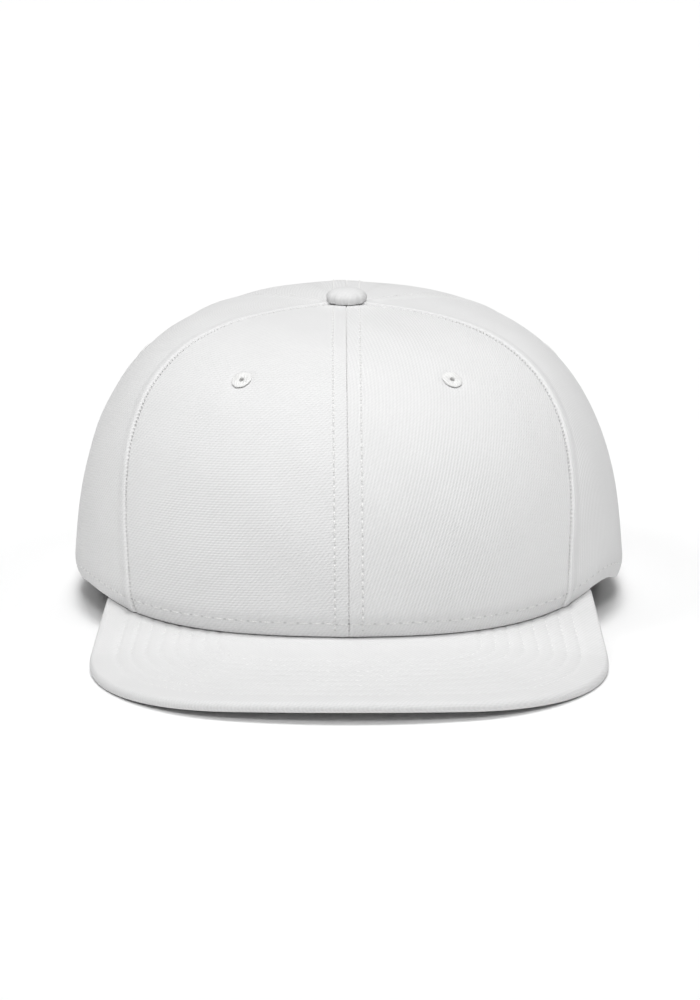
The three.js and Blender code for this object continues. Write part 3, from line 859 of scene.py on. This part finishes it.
def cloth_panel(panel, word, side, seed):
    """Makes one panel of the crown and gives its rows of stitches"""
    name = f"{panel['kind']}_{word}"
    azimuth, rise = panel_grid(panel)
    azimuth = side * azimuth
    base = crown_point(azimuth, rise)
    out = way_out(azimuth, rise)
    from_start = lengths_along(base)
    width = from_start[-1:]
    to_end = width - from_start
    up = lengths_along(base.transpose(1, 0, 2)).T
    from_top = up[:, -1:] - up
    relief = panel["at_start"](from_start, up) + panel["at_end"](to_end, up)
    full_height = smooth(from_top, *WAVES_FROM_TOP) * smooth(up, *WAVES_FROM_EDGE)
    relief = relief + slow_waves(base, seed) * full_height

    # Distances from the seams that have a row of stitches beside them, and the way that these grow
    sewn_seams = [
        (distance, order)
        for edge, distance, order in (("at_start", from_start, 1), ("at_end", to_end, -1))
        if panel[edge] is pressed_open
    ]
    stitched = [(distance - SEAM_ROW, up / SEAM_PITCH) for distance, _ in sewn_seams]
    beside_opening = np.ones_like(up, bool)
    if panel["kind"] == "back":
        from_hem, _ = nearest(base, crown_point(*hem_line(side, 0)))
        row_azimuth, row_rise = hem_line(side, HEM_ROW)
        row_line = crown_point(row_azimuth, row_rise)
        _, along_hem = nearest(base, row_line)
        relief = relief - rolled(from_hem, WALL_ROLL) - stitched_dip(from_hem, along_hem, HEM_ROW, BASE_PITCH)
        relief = relief + HEM_HEIGHT * (1 - smooth(from_hem, HEM_ROW, HEM_ROW + HEM_SLOPE))
        beside_opening = np.abs(azimuth) < azimuth_from_back(OPENING_HALF_WIDTH + HEM_ROW)
        stitched.append((from_hem - HEM_ROW, along_hem / BASE_PITCH))
    above = np.where(beside_opening, up, FAR_UP)
    stitched.append((above - BASE_ROW, from_start / BASE_PITCH))
    puckers = np.cos(math.tau * from_start / BASE_PITCH) * bell(above - BASE_ROW, PUCKER_WIDTH)
    relief = relief - rolled(above, RIM_ROLL) - stitched_dip(above, from_start, BASE_ROW, BASE_PITCH)
    relief = relief - PUCKER_HEIGHT * puckers
    eye_azimuth, eye_rise = panel["eyelet"]
    eye = crown_point(np.array(side * eye_azimuth), np.array(eye_rise))
    beyond_ring = np.linalg.norm(base - eye, axis=-1) - EYELET_RADIUS
    relief = relief - EYELET_DENT * bell(np.maximum(0, beyond_ring), EYELET_DENT_WIDTH)

    outer = base + out * relief[..., None]
    inner_relief = rolled(above, WALL_ROLL) + rolled(from_start, SEAM_ROLL) + rolled(to_end, SEAM_ROLL)
    inner = base - out * (CLOTH - inner_relief)[..., None]
    cells = (base[1:, 1:] + base[:-1, :-1]) / 2
    hole = np.linalg.norm(cells - eye, axis=-1) < EYELET_NECK_RADIUS + FIT_GAP
    maps = {
        "cloth": grain_map(side * (from_start - width / 2), -from_top, GRAIN[name]),
        "rows": nearest_row_map(stitched),
    }
    piece = wall_piece(f"twill_{name}", outer, inner, maps, CROWN_TWILL, hole)
    dress(piece, "crown_cloth", f"panel_{name}")

    grid = np.concatenate([outer, out, up[..., None], from_start[..., None]], axis=-1)
    rows = []
    for distance, order in sewn_seams:
        line = line_on_grid(distance[::order], SEAM_ROW, grid[::order], 0)
        clear = np.hypot(line[:, 0] - TOP_LEAN, line[:, 1] - TOP_SET_BACK) > BUTTON_RADIUS
        line = line[clear & (line[:, 6] > SEAM_ROW_START)]
        rows.append(stitch_frames(line[:, :3], line[:, 3:6], line[:, 6], SEAM_PITCH))
    line = line_on_grid(up, BASE_ROW, grid, 1)[beside_opening[:, 0]]
    rows.append(stitch_frames(line[:, :3], line[:, 3:6], line[:, 7], BASE_PITCH))
    if panel["kind"] == "back":
        normals = way_out(row_azimuth, row_rise)
        lifted = row_line + normals * HEM_STITCH_LIFT
        rows.append(stitch_frames(lifted, normals, lengths_along(row_line), BASE_PITCH))
    return rows


crown_rows = []
for number, panel in enumerate(PANELS):
    for word, side in SIDES:
        crown_rows += cloth_panel(panel, word, side, number * 2 + side)
stitch_piece("stitches_crown", crown_rows)


def seam_ties(seam, side, lowest):
    """The thread that closes a seam, of which only specks show across it"""
    rise = np.linspace(lowest, rise_near_top(seam["top"], BUTTON_RADIUS), FINE_STEPS)
    azimuth = side * seam_azimuth(seam, rise)
    points = crown_point(azimuth, rise)
    middle, reach, out = stitch_frames(points, way_out(azimuth, rise), lengths_along(points), TIE_PITCH)
    return [middle - out * TIE_SUNK, unit(np.cross(reach, out)) * TIE_LENGTH, out]


above_opening = float(opening_rise(np.array(float(MIDDLE_OF_BACK))))
tie_rows = [seam_ties(CENTRE_FRONT, 1, 0), seam_ties(CENTRE_BACK, 1, above_opening)]
for side in (-1, 1):
    tie_rows += [seam_ties(FRONT_SEAM, side, 0), seam_ties(BACK_SEAM, side, 0)]
stitch_piece("stitches_seams", tie_rows, TIE_RADIUS)


# Eyelets, worked in thread over the edge of a punched hole

# Height of the threads, and how far the ring stands off the cloth and its neck reaches into it
THREAD_LIFT = 0.14
RING_CLEAR = 0.03
RING_ROUNDNESS = 0.8
NECK_IN_RING = 0.05


def eyelet_profile():
    """Radius and height round the eyelet's section, with a rounded rim on both sides of the cloth"""
    arc = np.linspace(0, math.pi, 12)
    middle = (EYELET_RADIUS + EYELET_HOLE_RADIUS) / 2
    half = (EYELET_RADIUS - EYELET_HOLE_RADIUS) / 2
    bulge = EYELET_BULGE * np.sin(arc) ** RING_ROUNDNESS
    rim = np.stack([middle + half * np.cos(arc), RING_CLEAR + bulge], axis=1)
    below = np.stack([rim[:, 0], -CLOTH - rim[:, 1]], axis=1)[::-1]
    neck = np.array([[EYELET_NECK_RADIUS, -CLOTH - NECK_IN_RING], [EYELET_NECK_RADIUS, NECK_IN_RING]])
    return np.concatenate([rim, below, neck])


def worked_thread(radius, height, angles):
    """Radial threads of the buttonhole stitch, a little uneven"""
    share = np.clip((radius - EYELET_HOLE_RADIUS) / (EYELET_RADIUS - EYELET_HOLE_RADIUS), 0, 1)
    thread = np.abs(np.sin(angles * EYELET_THREADS / 2))
    uneven = 0.06 * np.sin(3 * angles) + 0.05 * np.sin(7 * angles + 1)
    outward = np.where(height > -CLOTH / 2, 1, -1)
    lifted = height + outward * THREAD_LIFT * (thread - 0.5) * np.sin(math.pi * share)
    return radius + share * (uneven + 0.1 * thread), lifted


EYELET_STEPS = EYELET_THREADS * 6
rings = turned_points(eyelet_profile(), EYELET_STEPS, worked_thread)
faces = turned_faces(len(rings), EYELET_STEPS, closed=True)
local = rings.reshape(-1, 3)
thread_map = {"cloth": local[:, :2] / EYELET_RADIUS}
for panel in PANELS:
    for word, side in SIDES:
        azimuth, rise = panel["eyelet"]
        name = f"eyelet_{panel['kind']}_{word}"
        points = stand_on_crown(local, side * azimuth, rise)
        dress(mesh_piece(f"worked_{name}", points, faces, thread_map, THREAD), "thread", name)


# Button

BUTTON_STEPS = 96
BUTTON_ROUNDNESS = 2 / 2.2
# Height at which the button is widest, as a share of its own
BUTTON_WIDEST = 0.32


def button_profile():
    """Radius and height of the covered dome, its turned edge and its post, from the post up"""
    dome = np.linspace(0, math.pi / 2, 22)[:-1]
    upper = np.stack([
        BUTTON_RADIUS * np.cos(dome) ** BUTTON_ROUNDNESS,
        BUTTON_HEIGHT * lerp(BUTTON_WIDEST, 1, np.sin(dome) ** BUTTON_ROUNDNESS),
    ], axis=1)
    lower = np.array([
        [0.3, -CLOTH],
        [BUTTON_POST_RADIUS, -CLOTH],
        [BUTTON_POST_RADIUS, 0.1],
        [BUTTON_RADIUS * 0.87, 0.05],
        [BUTTON_RADIUS * 0.93, 0.25],
        [BUTTON_RADIUS * 0.97, 0.7],
        [BUTTON_RADIUS * 0.995, 1.15],
    ])
    return np.concatenate([lower, upper, [[0.2, BUTTON_HEIGHT]]])


def gathered(radius, height, angles):
    """The cover's slight gathers where it turns under the button's edge"""
    near_edge = smooth(radius, BUTTON_RADIUS * 0.6, BUTTON_RADIUS)
    folds = 0.14 * np.sin(9 * angles + 0.4) + 0.1 * np.sin(17 * angles) + 0.08 * np.sin(5 * angles + 2)
    lifted = height + 0.1 * np.sin(2 * angles + 1) * (radius / BUTTON_RADIUS)
    return radius + near_edge * folds, np.where(height > 0.3, lifted, height)


rings = turned_points(button_profile(), BUTTON_STEPS, gathered)
local = rings.reshape(-1, 3)
faces = turned_faces(len(rings), BUTTON_STEPS, closed=False)
top_of_crown = crown_point(np.array(0.0), np.array(1.0)) + np.array([0, 0, FIT_GAP])
button = mesh_piece("covered_button", local + top_of_crown, faces, {"cloth": local[:, :2] * MM}, BUTTON_TWILL)
dress(button, "crown_cloth", "button")


# Peak

PEAK_ALONG = 300
PEAK_DEEP = 92
ROLL_ANGLES = np.radians([0, 12, 25, 38, 50, 60, 69, 76, 82])
# Points along each stretch of the peak's edge, and along a row of stitches
PEAK_SIDE_STEPS = 200
PEAK_CORNER_STEPS = 300
PEAK_FRONT_STEPS = 200
PEAK_ROW_STEPS = 1200
# Reliefs of the peak, in millimetres
PEAK_GROOVE = 0.34
PEAK_GROOVE_WIDTH = 0.85
GROOVE_BETWEEN_HOLES = 0.4
PEAK_WAVE_HEIGHT = 0.1
RELIEF_FROM_EDGE = (1, 4)
PEAK_WELT = 0.14
PEAK_WELT_IN = 6.4
PEAK_WELT_OUT = 8.4


def outline_parts():
    """Angles at which the peak's straight side meets its corner's arc, and that meets the front's"""
    end_x, end_y = base_point(PEAK_END_AZIMUTH)
    to_end = math.hypot(end_x - CORNER_X, end_y - CORNER_Y)
    turn = math.atan2(end_y - CORNER_Y, end_x - CORNER_X) - math.acos(PEAK_CORNER_RADIUS / to_end)
    meet = math.atan2(CORNER_Y - FRONT_CENTRE_Y, CORNER_X)
    return turn, meet


def peak_edge(inset, count):
    """Points of the peak's edge, moved inwards by a distance, and its way out in plan"""
    turn, meet = outline_parts()
    end_x, end_y = base_point(PEAK_END_AZIMUTH)
    side_way = np.array([math.cos(turn), math.sin(turn)])
    touch = np.array([CORNER_X, CORNER_Y]) + PEAK_CORNER_RADIUS * side_way
    straight = np.linspace(0, 1, PEAK_SIDE_STEPS)[:-1, None]
    side_points = lerp(np.array([end_x, end_y]), touch, straight)
    corner = np.linspace(turn, meet, PEAK_CORNER_STEPS)[:-1]
    corner_ways = np.stack([np.cos(corner), np.sin(corner)], axis=1)
    corner_points = np.array([CORNER_X, CORNER_Y]) + PEAK_CORNER_RADIUS * corner_ways
    front = np.linspace(meet, -math.pi / 2, PEAK_FRONT_STEPS)
    front_ways = np.stack([np.cos(front), np.sin(front)], axis=1)
    front_points = np.array([0, FRONT_CENTRE_Y]) + PEAK_FRONT_RADIUS * front_ways
    ways = np.concatenate([np.tile(side_way, (len(side_points), 1)), corner_ways, front_ways])
    half = np.concatenate([side_points, corner_points, front_points]) - ways * inset
    mirror = np.array([-1, 1])
    points = np.concatenate([half, half[-2::-1] * mirror])
    ways = np.concatenate([ways, ways[-2::-1] * mirror])
    run = lengths_along(points)
    even = np.linspace(0, run[-1], count)
    return between(points, run, even), unit(between(ways, run, even)), even


def edge_distance(x, y):
    """Distance of a point of the peak from its outer edge in plan"""
    turn, meet = outline_parts()
    x = np.abs(x)
    on_front = np.arctan2(y - FRONT_CENTRE_Y, x) < meet
    from_corner_x = x - CORNER_X
    from_corner_y = y - CORNER_Y
    beside = np.arctan2(from_corner_y, from_corner_x) > turn
    straight = from_corner_x * math.cos(turn) + from_corner_y * math.sin(turn)
    curved = np.hypot(from_corner_x, from_corner_y)
    from_corner = PEAK_CORNER_RADIUS - np.where(beside, straight, curved)
    return np.where(on_front, PEAK_FRONT_RADIUS - np.hypot(x, y - FRONT_CENTRE_Y), from_corner)


def peak_relief(x, y, along):
    """The welt beside the peak's edge and the grooves of its rows of stitches, above and below"""
    inward = edge_distance(x, y)
    place_in_rows = (inward - PEAK_FIRST_ROW) / PEAK_ROW_SPACING
    row = np.clip(np.round(place_in_rows), 0, PEAK_ROWS - 1)
    off = (place_in_rows - row) * PEAK_ROW_SPACING
    deep = at_needle_holes(along, PEAK_PITCH, GROOVE_BETWEEN_HOLES)
    welt = PEAK_WELT * (1 - smooth(inward, PEAK_WELT_IN, PEAK_WELT_OUT))
    return welt - PEAK_GROOVE * bell(off, PEAK_GROOVE_WIDTH) * deep


def peak_piece():
    """The peak as two facing grids that run from its rounded outer edge to where it tucks in"""
    edge, ways, run = peak_edge(0, PEAK_ALONG)
    azimuth = lerp(PEAK_END_AZIMUTH, -PEAK_END_AZIMUTH, run / run[-1])
    inner_edge = np.stack(base_point(azimuth, PEAK_TUCK_UNDER), axis=1)
    depth = np.linalg.norm(edge - inner_edge, axis=1)[:, None]
    round_in = np.minimum(PEAK_THICKNESS / 2, depth / 2)
    flat_share = np.linspace(1, 0, PEAK_DEEP + 1)[None, :-1]
    inward = np.concatenate([
        round_in + (depth - round_in) * flat_share,
        round_in * (1 - np.sin(ROLL_ANGLES)),
    ], axis=1)
    lift = np.concatenate([np.ones(PEAK_DEEP), np.cos(ROLL_ANGLES)])[None, :]
    arc = np.concatenate([np.zeros(PEAK_DEEP), ROLL_ANGLES - np.sin(ROLL_ANGLES)])[None, :] * round_in
    share = (inward / depth)[..., None]
    plan = lerp(edge[:, None], inner_edge[:, None], share)
    x, y = plan[..., 0], plan[..., 1]
    middle = peak_underside(x, y) + PEAK_THICKNESS / 2
    fade = smooth(inward, *RELIEF_FROM_EDGE)
    relief = peak_relief(x, y, run[:, None]) * fade
    waves = PEAK_WAVE_HEIGHT * np.sin(x / 11 + 1) * np.sin(y / 9) * fade
    half = PEAK_THICKNESS / 2 * lift
    top = np.stack([x, y, middle + half + relief + waves], axis=-1)
    bottom = np.stack([x, y, middle - half - relief], axis=-1)
    unrolled = plan + ways[:, None] * arc[..., None]
    return wall_piece("twill_peak", top, bottom, {"cloth": unrolled * MM}, PEAK_TWILL)


def peak_row(number, upward):
    """Stitches of one row on the peak's upper or lower side, as far as the crown's edge"""
    inset = PEAK_FIRST_ROW + number * PEAK_ROW_SPACING
    points, _, along = peak_edge(inset, PEAK_ROW_STEPS)
    x, y = points.T
    reach_x = CROWN_HALF_WIDTH - BASE_TUCK
    reach_y = CROWN_FRONT_REACH * (1 - BASE_TUCK / CROWN_HALF_WIDTH)
    clear = np.hypot(x / reach_x, y / reach_y) > 1
    x, y, along = x[clear], y[clear], along[clear]
    sunk = PEAK_GROOVE + PEAK_THREAD_RADIUS * 0.7
    surface = peak_underside(x, y) + (PEAK_THICKNESS - sunk if upward else sunk)
    way = np.tile([0.0, 0.0, 1.0 if upward else -1.0], (len(x), 1))
    return stitch_frames(np.stack([x, y, surface], axis=1), way, along, PEAK_PITCH)


dress(peak_piece(), "peak_cloth", "peak")
for word, upward in (("top", True), ("under", False)):
    peak_rows = [peak_row(number, upward) for number in range(PEAK_ROWS)]
    stitch_piece(f"stitches_peak_{word}", peak_rows, PEAK_THREAD_RADIUS)


# Sweatband

BAND_ALONG = 360
BAND_UP = 26
BAND_WAVE_HEIGHT = 0.12
BAND_WAVES_FROM = (10, 30)
BAND_ROW = 3
BAND_ROW_DIP = 0.2
BAND_ROW_DIP_WIDTH = 0.9


def strip_grid(azimuth, heights, depth):
    """Points of a strip inside the crown, at a depth below its outer surface"""
    rise = rise_at(azimuth, heights)
    return crown_point(azimuth, rise) - way_out(azimuth, rise) * depth[..., None]


def sweatband():
    """The tape inside the crown's lower edge, a little wavy and dented by the rows beside its edges"""
    end = azimuth_from_back(OPENING_HALF_WIDTH + STRAP_LAP + BAND_CLEAR_OF_STRAP)
    azimuth = np.linspace(-end, end, BAND_ALONG)[:, None] * np.ones((1, BAND_UP))
    share = crowded(BAND_WIDTH, BAND_UP - 2 * (len(EDGE_STEPS) - 1))[None, :]
    heights = BAND_CLEAR_OF_RIM + BAND_WIDTH * share * np.ones((BAND_ALONG, 1))
    from_edge = np.minimum(share, 1 - share) * BAND_WIDTH * np.ones((BAND_ALONG, 1))
    roll = rolled(from_edge, BAND_THICKNESS / 2)
    outer_depth = CLOTH + LINING_GAP + roll
    wave = BAND_WAVE_HEIGHT * np.sin(np.radians(azimuth) * 23) * smooth(heights, *BAND_WAVES_FROM)
    row_dip = BAND_ROW_DIP * bell(from_edge - BAND_ROW, BAND_ROW_DIP_WIDTH)
    inner_depth = CLOTH + LINING_GAP + BAND_THICKNESS - roll - row_dip + wave
    outer = strip_grid(azimuth, heights, outer_depth)
    inner = strip_grid(azimuth, heights, inner_depth)
    run = lengths_along(outer[:, BAND_UP // 2])
    cloth_map = np.stack([run[:, None] * np.ones((1, BAND_UP)), heights], axis=-1) * MM
    return wall_piece("sweatband_tape", outer, inner, {"cloth": cloth_map}, BAND_TWILL)


dress(sweatband(), "band_cloth", "sweatband")


# Snap strap: one strip with holes lying over one with studs

STRAP_ALONG = 220
STRAP_UP = 22
STRAP_HOLE_RADIUS = 2.55
STRAP_END_STEPS = 30
STRAP_END_ROUNDING = 7
STRAP_EDGE_ROLL = 0.5
STRAP_DEPTH = CLOTH + LINING_GAP
STRIP_GAP = 0.02
RAMP = 5
HOLE_STEPS = 32
STUD_STEPS = 40
POST_HALF_LENGTH = 4


def strap_strip(name, start, end, depth_at):
    """A strip between two lengths from the middle of the back, rounded at its free end"""
    half = STRAP_WIDTH / 2
    low_middle = STRAP_CLEAR_OF_SURFACE + half
    ease = np.linspace(0, math.pi / 2, STRAP_END_STEPS)
    tip = STRAP_END_ROUNDING * (1 - np.sin(ease))[::-1]
    straight = np.linspace(STRAP_END_ROUNDING, abs(end - start), STRAP_ALONG)
    from_tip = np.concatenate([tip, straight[1:]])
    near = np.clip(1 - from_tip / STRAP_END_ROUNDING, 0, 1)
    half_here = (half - STRAP_END_ROUNDING) + STRAP_END_ROUNDING * np.sqrt(1 - near ** 2)
    along = end + np.sign(start - end) * from_tip
    share = crowded(STRAP_WIDTH, STRAP_UP)[None, :] * 2 - 1
    offset = half_here[:, None] * share
    azimuth = azimuth_from_back(along)[:, None] * np.ones_like(offset)
    from_edge = np.minimum(half_here[:, None] * (1 - np.abs(share)), from_tip[:, None] + STRIP_GAP)
    roll = rolled(np.maximum(from_edge, 0), STRAP_EDGE_ROLL)
    top_depth = depth_at(along)[:, None] + roll
    bottom_depth = depth_at(along)[:, None] + STRAP_THICKNESS - STRIP_GAP - roll
    outer = strip_grid(azimuth, low_middle + offset, top_depth)
    inner = strip_grid(azimuth, low_middle + offset, bottom_depth)
    cloth_map = np.stack([along[:, None] * np.ones_like(offset), offset], axis=-1) * MM
    return wall_piece(name, outer, inner, {"cloth": cloth_map}, PLASTIC)


def row_of_turned(profile, steps, places):
    """Points and faces of a row of turned bodies that stand along the middle of the strap"""
    rings = turned_points(profile, steps)
    one = turned_faces(len(rings), steps, closed=False)
    points = []
    faces = []
    for number, length in enumerate(places):
        azimuth = azimuth_from_back(length)
        rise = rise_at(azimuth, STRAP_CLEAR_OF_SURFACE + STRAP_WIDTH / 2)
        points.append(stand_on_crown(rings.reshape(-1, 3), azimuth, rise, STRAP_DEPTH))
        first = number * len(rings) * steps
        faces += [[corner + first for corner in face] for face in one]
    return np.concatenate(points), faces


def cut_holes(piece, places):
    """Cuts the strip's round holes with short posts that are then deleted"""
    profile = np.array([[STRAP_HOLE_RADIUS, -POST_HALF_LENGTH], [STRAP_HOLE_RADIUS, POST_HALF_LENGTH]])
    points, faces = row_of_turned(profile, HOLE_STEPS, places)
    cutter = mesh_piece("posts", points, faces, {}, PLASTIC)
    modifier = piece.modifiers.new("holes", "BOOLEAN")
    modifier.object = cutter
    modifier.operation = "DIFFERENCE"
    modifier.solver = "EXACT"
    seen = piece.evaluated_get(bpy.context.evaluated_depsgraph_get())
    cut = bpy.data.meshes.new_from_object(seen)
    piece.modifiers.clear()
    piece.data = cut
    bpy.data.objects.remove(cutter)


def studs(places):
    """Round studs with a slight neck, pushed through the holes from behind"""
    profile = np.array([
        [0.1, -0.4],
        [STUD_RADIUS * 0.8, -0.4],
        [STUD_RADIUS * 0.8, STRAP_THICKNESS * 0.9],
        [STUD_RADIUS * 0.93, STRAP_THICKNESS + 0.15],
        [STUD_RADIUS, STRAP_THICKNESS + 0.45],
        [STUD_RADIUS * 0.93, STRAP_THICKNESS + 0.8],
        [STUD_RADIUS * 0.7, STRAP_THICKNESS + STUD_HEIGHT - 0.08],
        [STUD_RADIUS * 0.3, STRAP_THICKNESS + STUD_HEIGHT],
        [0.1, STRAP_THICKNESS + STUD_HEIGHT],
    ])
    points, faces = row_of_turned(profile, STUD_STEPS, places)
    return mesh_piece("strap_studs", points, faces, {"cloth": points[:, :2] * MM}, PLASTIC)


def outer_strip_depth(along):
    """The strip with holes rises over the other one between the ends of the doubled stretch"""
    doubled = smooth(-np.abs(along), -STRAP_DOUBLED_HALF_LENGTH - RAMP, -STRAP_DOUBLED_HALF_LENGTH)
    doubled = np.where(along < 0, 1, doubled)
    return STRAP_DEPTH - STRAP_THICKNESS * doubled


def inner_strip_depth(along):
    return np.full_like(along, STRAP_DEPTH)


# Lengths from the middle of the back to the strap's sewn end, its holes and its studs
STRAP_END = OPENING_HALF_WIDTH + STRAP_LAP
HOLE_PLACES = STUD_PITCH * np.arange(-2, 5)
STUD_PLACES = STUD_PITCH * np.arange(-4, 3)
outer_strip = strap_strip("strap_with_holes", STRAP_END, -STRAP_DOUBLED_HALF_LENGTH, outer_strip_depth)
cut_holes(outer_strip, HOLE_PLACES)
dress(outer_strip, "strap_plastic", "snap_strap")
inner_strip = strap_strip("strap_with_studs", -STRAP_END, STRAP_DOUBLED_HALF_LENGTH, inner_strip_depth)
dress(inner_strip, "strap_plastic", "snap_strap")
dress(studs(STUD_PLACES), "strap_plastic", "snap_strap")


# Floor and light

FLOOR_HALF_WIDTH = 20


def studio_floor():
    """A plain matte white floor, wide enough to fill every view"""
    material, tree = new_material("studio_floor")
    shader = add(tree, "ShaderNodeBsdfPrincipled", {
        "Base Color": linear("fafafa"), "Roughness": 1.0, "Specular IOR Level": 0.0,
    })
    finish_material(tree, shader)
    signs = ((-1, -1), (1, -1), (1, 1), (-1, 1))
    corners = [(x * FLOOR_HALF_WIDTH, y * FLOOR_HALF_WIDTH, 0) for x, y in signs]
    mesh = bpy.data.meshes.new("floor")
    mesh.from_pydata(corners, [], [(0, 1, 2, 3)])
    mesh.materials.append(material)
    new_object("floor", mesh)


def soft_sun(name, strength, elevation, azimuth, spread):
    """A wide soft light from far away: an azimuth of 0 is from the front, 90 from the right"""
    data = bpy.data.lights.new(name, "SUN")
    data.energy = strength
    data.angle = math.radians(spread)
    lamp = new_object(name, data)
    lamp.rotation_euler = (math.radians(90 - elevation), 0, math.radians(azimuth))


def sky():
    """Pale light from all round, stronger overhead than near the horizon"""
    world = bpy.data.worlds.new("studio")
    world.use_nodes = True
    tree = world.node_tree
    tree.nodes.clear()
    way = add(tree, "ShaderNodeSeparateXYZ", {0: add(tree, "ShaderNodeTexCoord").outputs["Generated"]})
    strength = add(tree, "ShaderNodeMapRange", {
        "Value": way.outputs["Z"], "From Min": 0.5, "From Max": 0.95, "To Min": 0.01, "To Max": 0.42,
    })
    background = add(tree, "ShaderNodeBackground", {
        "Color": (1, 1, 1, 1), "Strength": strength.outputs[0],
    })
    add(tree, "ShaderNodeOutputWorld", {"Surface": background.outputs[0]})
    bpy.context.scene.world = world


studio_floor()
soft_sun("overhead", strength=1.42, elevation=84, azimuth=0, spread=24)
soft_sun("front_fill", strength=1.0, elevation=42, azimuth=0, spread=12)
soft_sun("left_fill", strength=0.46, elevation=48, azimuth=-75, spread=20)
soft_sun("right_fill", strength=0.38, elevation=48, azimuth=75, spread=20)
sky()
bpy.context.scene.view_settings.view_transform = "Standard"
